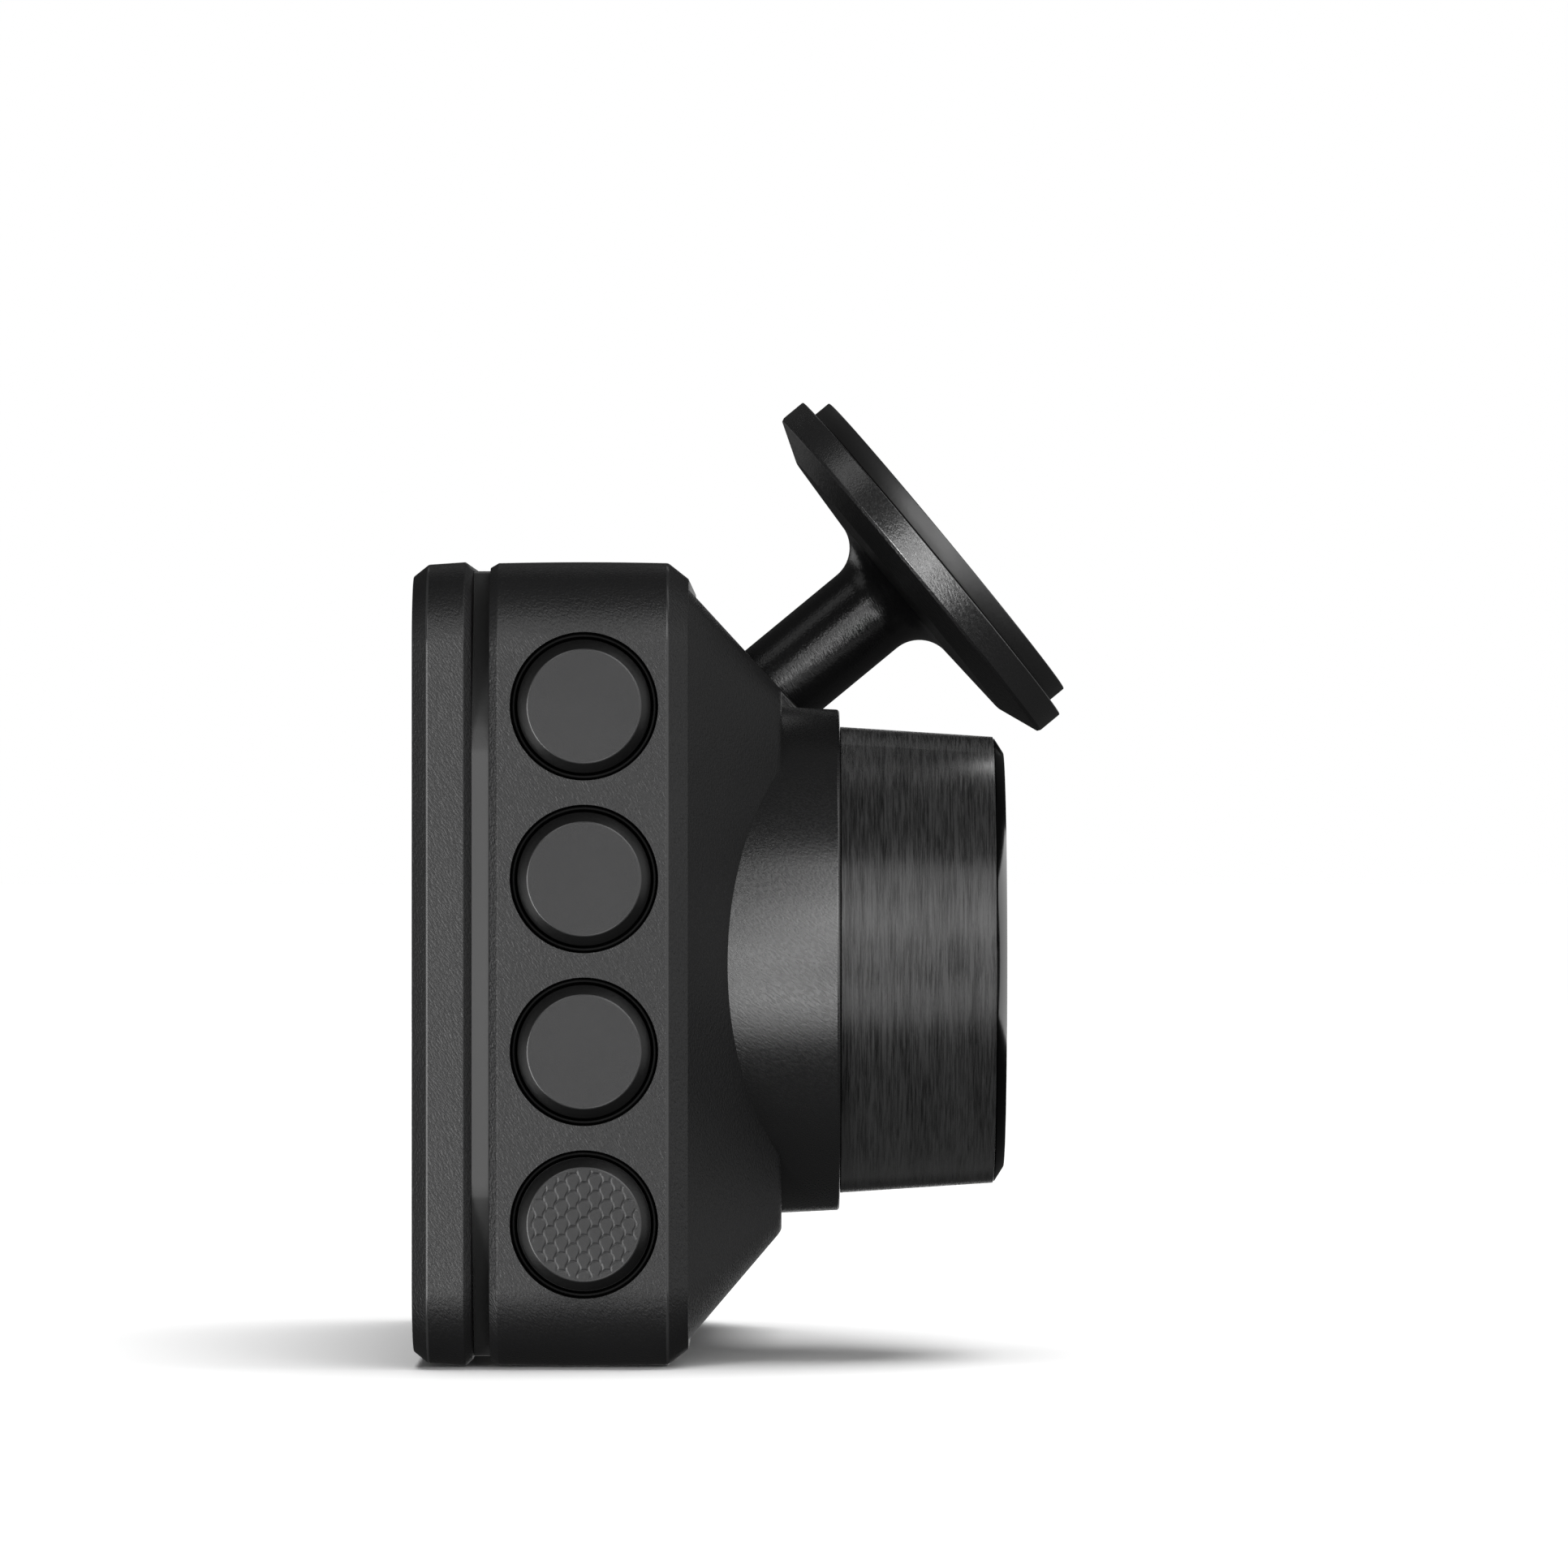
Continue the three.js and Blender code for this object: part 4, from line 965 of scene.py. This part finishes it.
def panel(name, azimuth, elevation, width, height, radiance):
    """A soft rectangular light facing the object; the camera doesn't see it."""
    turn, rise = math.radians(azimuth), math.radians(elevation)
    away = Vector((math.sin(turn) * math.cos(rise), -math.cos(turn) * math.cos(rise), math.sin(rise)))
    data = bpy.data.lights.new(name, "AREA")
    data.shape = "RECTANGLE"
    data.size = 2 * PANEL_DISTANCE * math.tan(math.radians(width) / 2) * math.cos(rise)
    data.size_y = 2 * PANEL_DISTANCE * math.tan(math.radians(height) / 2)
    data.energy = radiance * math.pi * data.size * data.size_y
    lamp = bpy.data.objects.new(name, data)
    lamp.location = STUDIO_CENTRE + away * PANEL_DISTANCE
    lamp.rotation_euler = (-away).to_track_quat("-Z", "Y").to_euler()
    lamp.visible_camera = False
    bpy.context.scene.collection.objects.link(lamp)
    return lamp


def light_group(name, pieces, state):
    """A collection that says which pieces a light reaches or leaves out."""
    group = bpy.data.collections.new(name)
    for piece in pieces:
        group.objects.link(piece)
    for member in group.collection_objects:
        member.light_linking.link_state = state
    return group


def piece_lights():
    """Ties the panels to the pieces that they leave out or that they are for."""
    pieces = bpy.data.objects
    for name, targets in UNLIT.items():
        group = light_group(f"not_by_{name}", [pieces[target] for target in targets], "EXCLUDE")
        pieces[name].light_linking.receiver_collection = group
    for name, (target, *setting) in KICKERS.items():
        link = panel(name, *setting).light_linking
        link.receiver_collection = light_group(f"by_{name}", [pieces[target]], "INCLUDE")
        shades = [pieces[target], pieces["front_shell"]]
        link.blocker_collection = light_group(f"shading_{name}", shades, "INCLUDE")


def floor_light(floor):
    """A wide even light from above that falls on the floor alone; the object's shadow is cut out of it."""
    data = bpy.data.lights.new("floor_light", "SUN")
    data.energy = 4.02
    data.angle = math.radians(56)
    lamp = bpy.data.objects.new("floor_light", data)
    lamp.rotation_euler = (math.radians(-9), math.radians(7), 0.0)
    bpy.context.scene.collection.objects.link(lamp)
    lamp.light_linking.receiver_collection = light_group("floor_only", [floor], "INCLUDE")


def surroundings():
    """A white backdrop for the camera, and a dim room for everything else."""
    scene = bpy.context.scene
    scene.view_settings.view_transform = "Standard"
    world = bpy.data.worlds.new("studio")
    scene.world = world
    world.use_nodes = True
    tree = world.node_tree
    tree.nodes.clear()
    room, backdrop = [tree.nodes.new("ShaderNodeBackground") for _ in range(2)]
    room.inputs["Color"].default_value = (*grey(DIM_ROOM), 1.0)
    backdrop.inputs["Color"].default_value = (*grey(WHITE_BACKDROP), 1.0)
    path = tree.nodes.new("ShaderNodeLightPath")
    mix = tree.nodes.new("ShaderNodeMixShader")
    out = tree.nodes.new("ShaderNodeOutputWorld")
    tree.links.new(path.outputs["Is Camera Ray"], mix.inputs[0])
    tree.links.new(room.outputs[0], mix.inputs[1])
    tree.links.new(backdrop.outputs[0], mix.inputs[2])
    tree.links.new(mix.outputs[0], out.inputs["Surface"])


def studio():
    """The floor, which the object neither mirrors nor is lit by, and the lights."""
    surroundings()
    size = FLOOR_HALF_SIZE
    corners = [(-size, -size, FLOOR_Z), (size, -size, FLOOR_Z), (size, size, FLOOR_Z), (-size, size, FLOOR_Z)]
    floor = make_object("floor", corners, [(0, 1, 2, 3)])
    paper = Finish("paper", grey(0.82))
    paper.feed("Roughness", paper.spread(paper.noise(paper.place(), 40.0), 0.85, 0.95))
    floor.data.materials.append(paper.material)
    for ray in ("visible_glossy", "visible_diffuse", "visible_shadow", "visible_transmission"):
        setattr(floor, ray, False)
    floor_light(floor)
    for name, setting in PANELS.items():
        panel(name, *setting)


CAMERA_PLACE = Vector((12.1, -660.0, 34.75))
FOCAL_LENGTH = 243.9


def camera():
    """Looks level along +Y, at the button side, as the photograph does."""
    data = bpy.data.cameras.new("camera")
    data.lens = FOCAL_LENGTH
    data.sensor_width = 36.0
    data.clip_start = 0.05
    data.clip_end = 20.0
    view = bpy.data.objects.new("camera", data)
    view.location = CAMERA_PLACE * MM
    view.rotation_euler = (math.pi / 2, 0.0, 0.0)
    bpy.context.scene.collection.objects.link(view)
    bpy.context.scene.camera = view


camera()
studio()
bezel()
band()
front_shell()
buttons()
lens_parts()
display()
sockets()
mount()
piece_lights()
paint_cad_nodes()
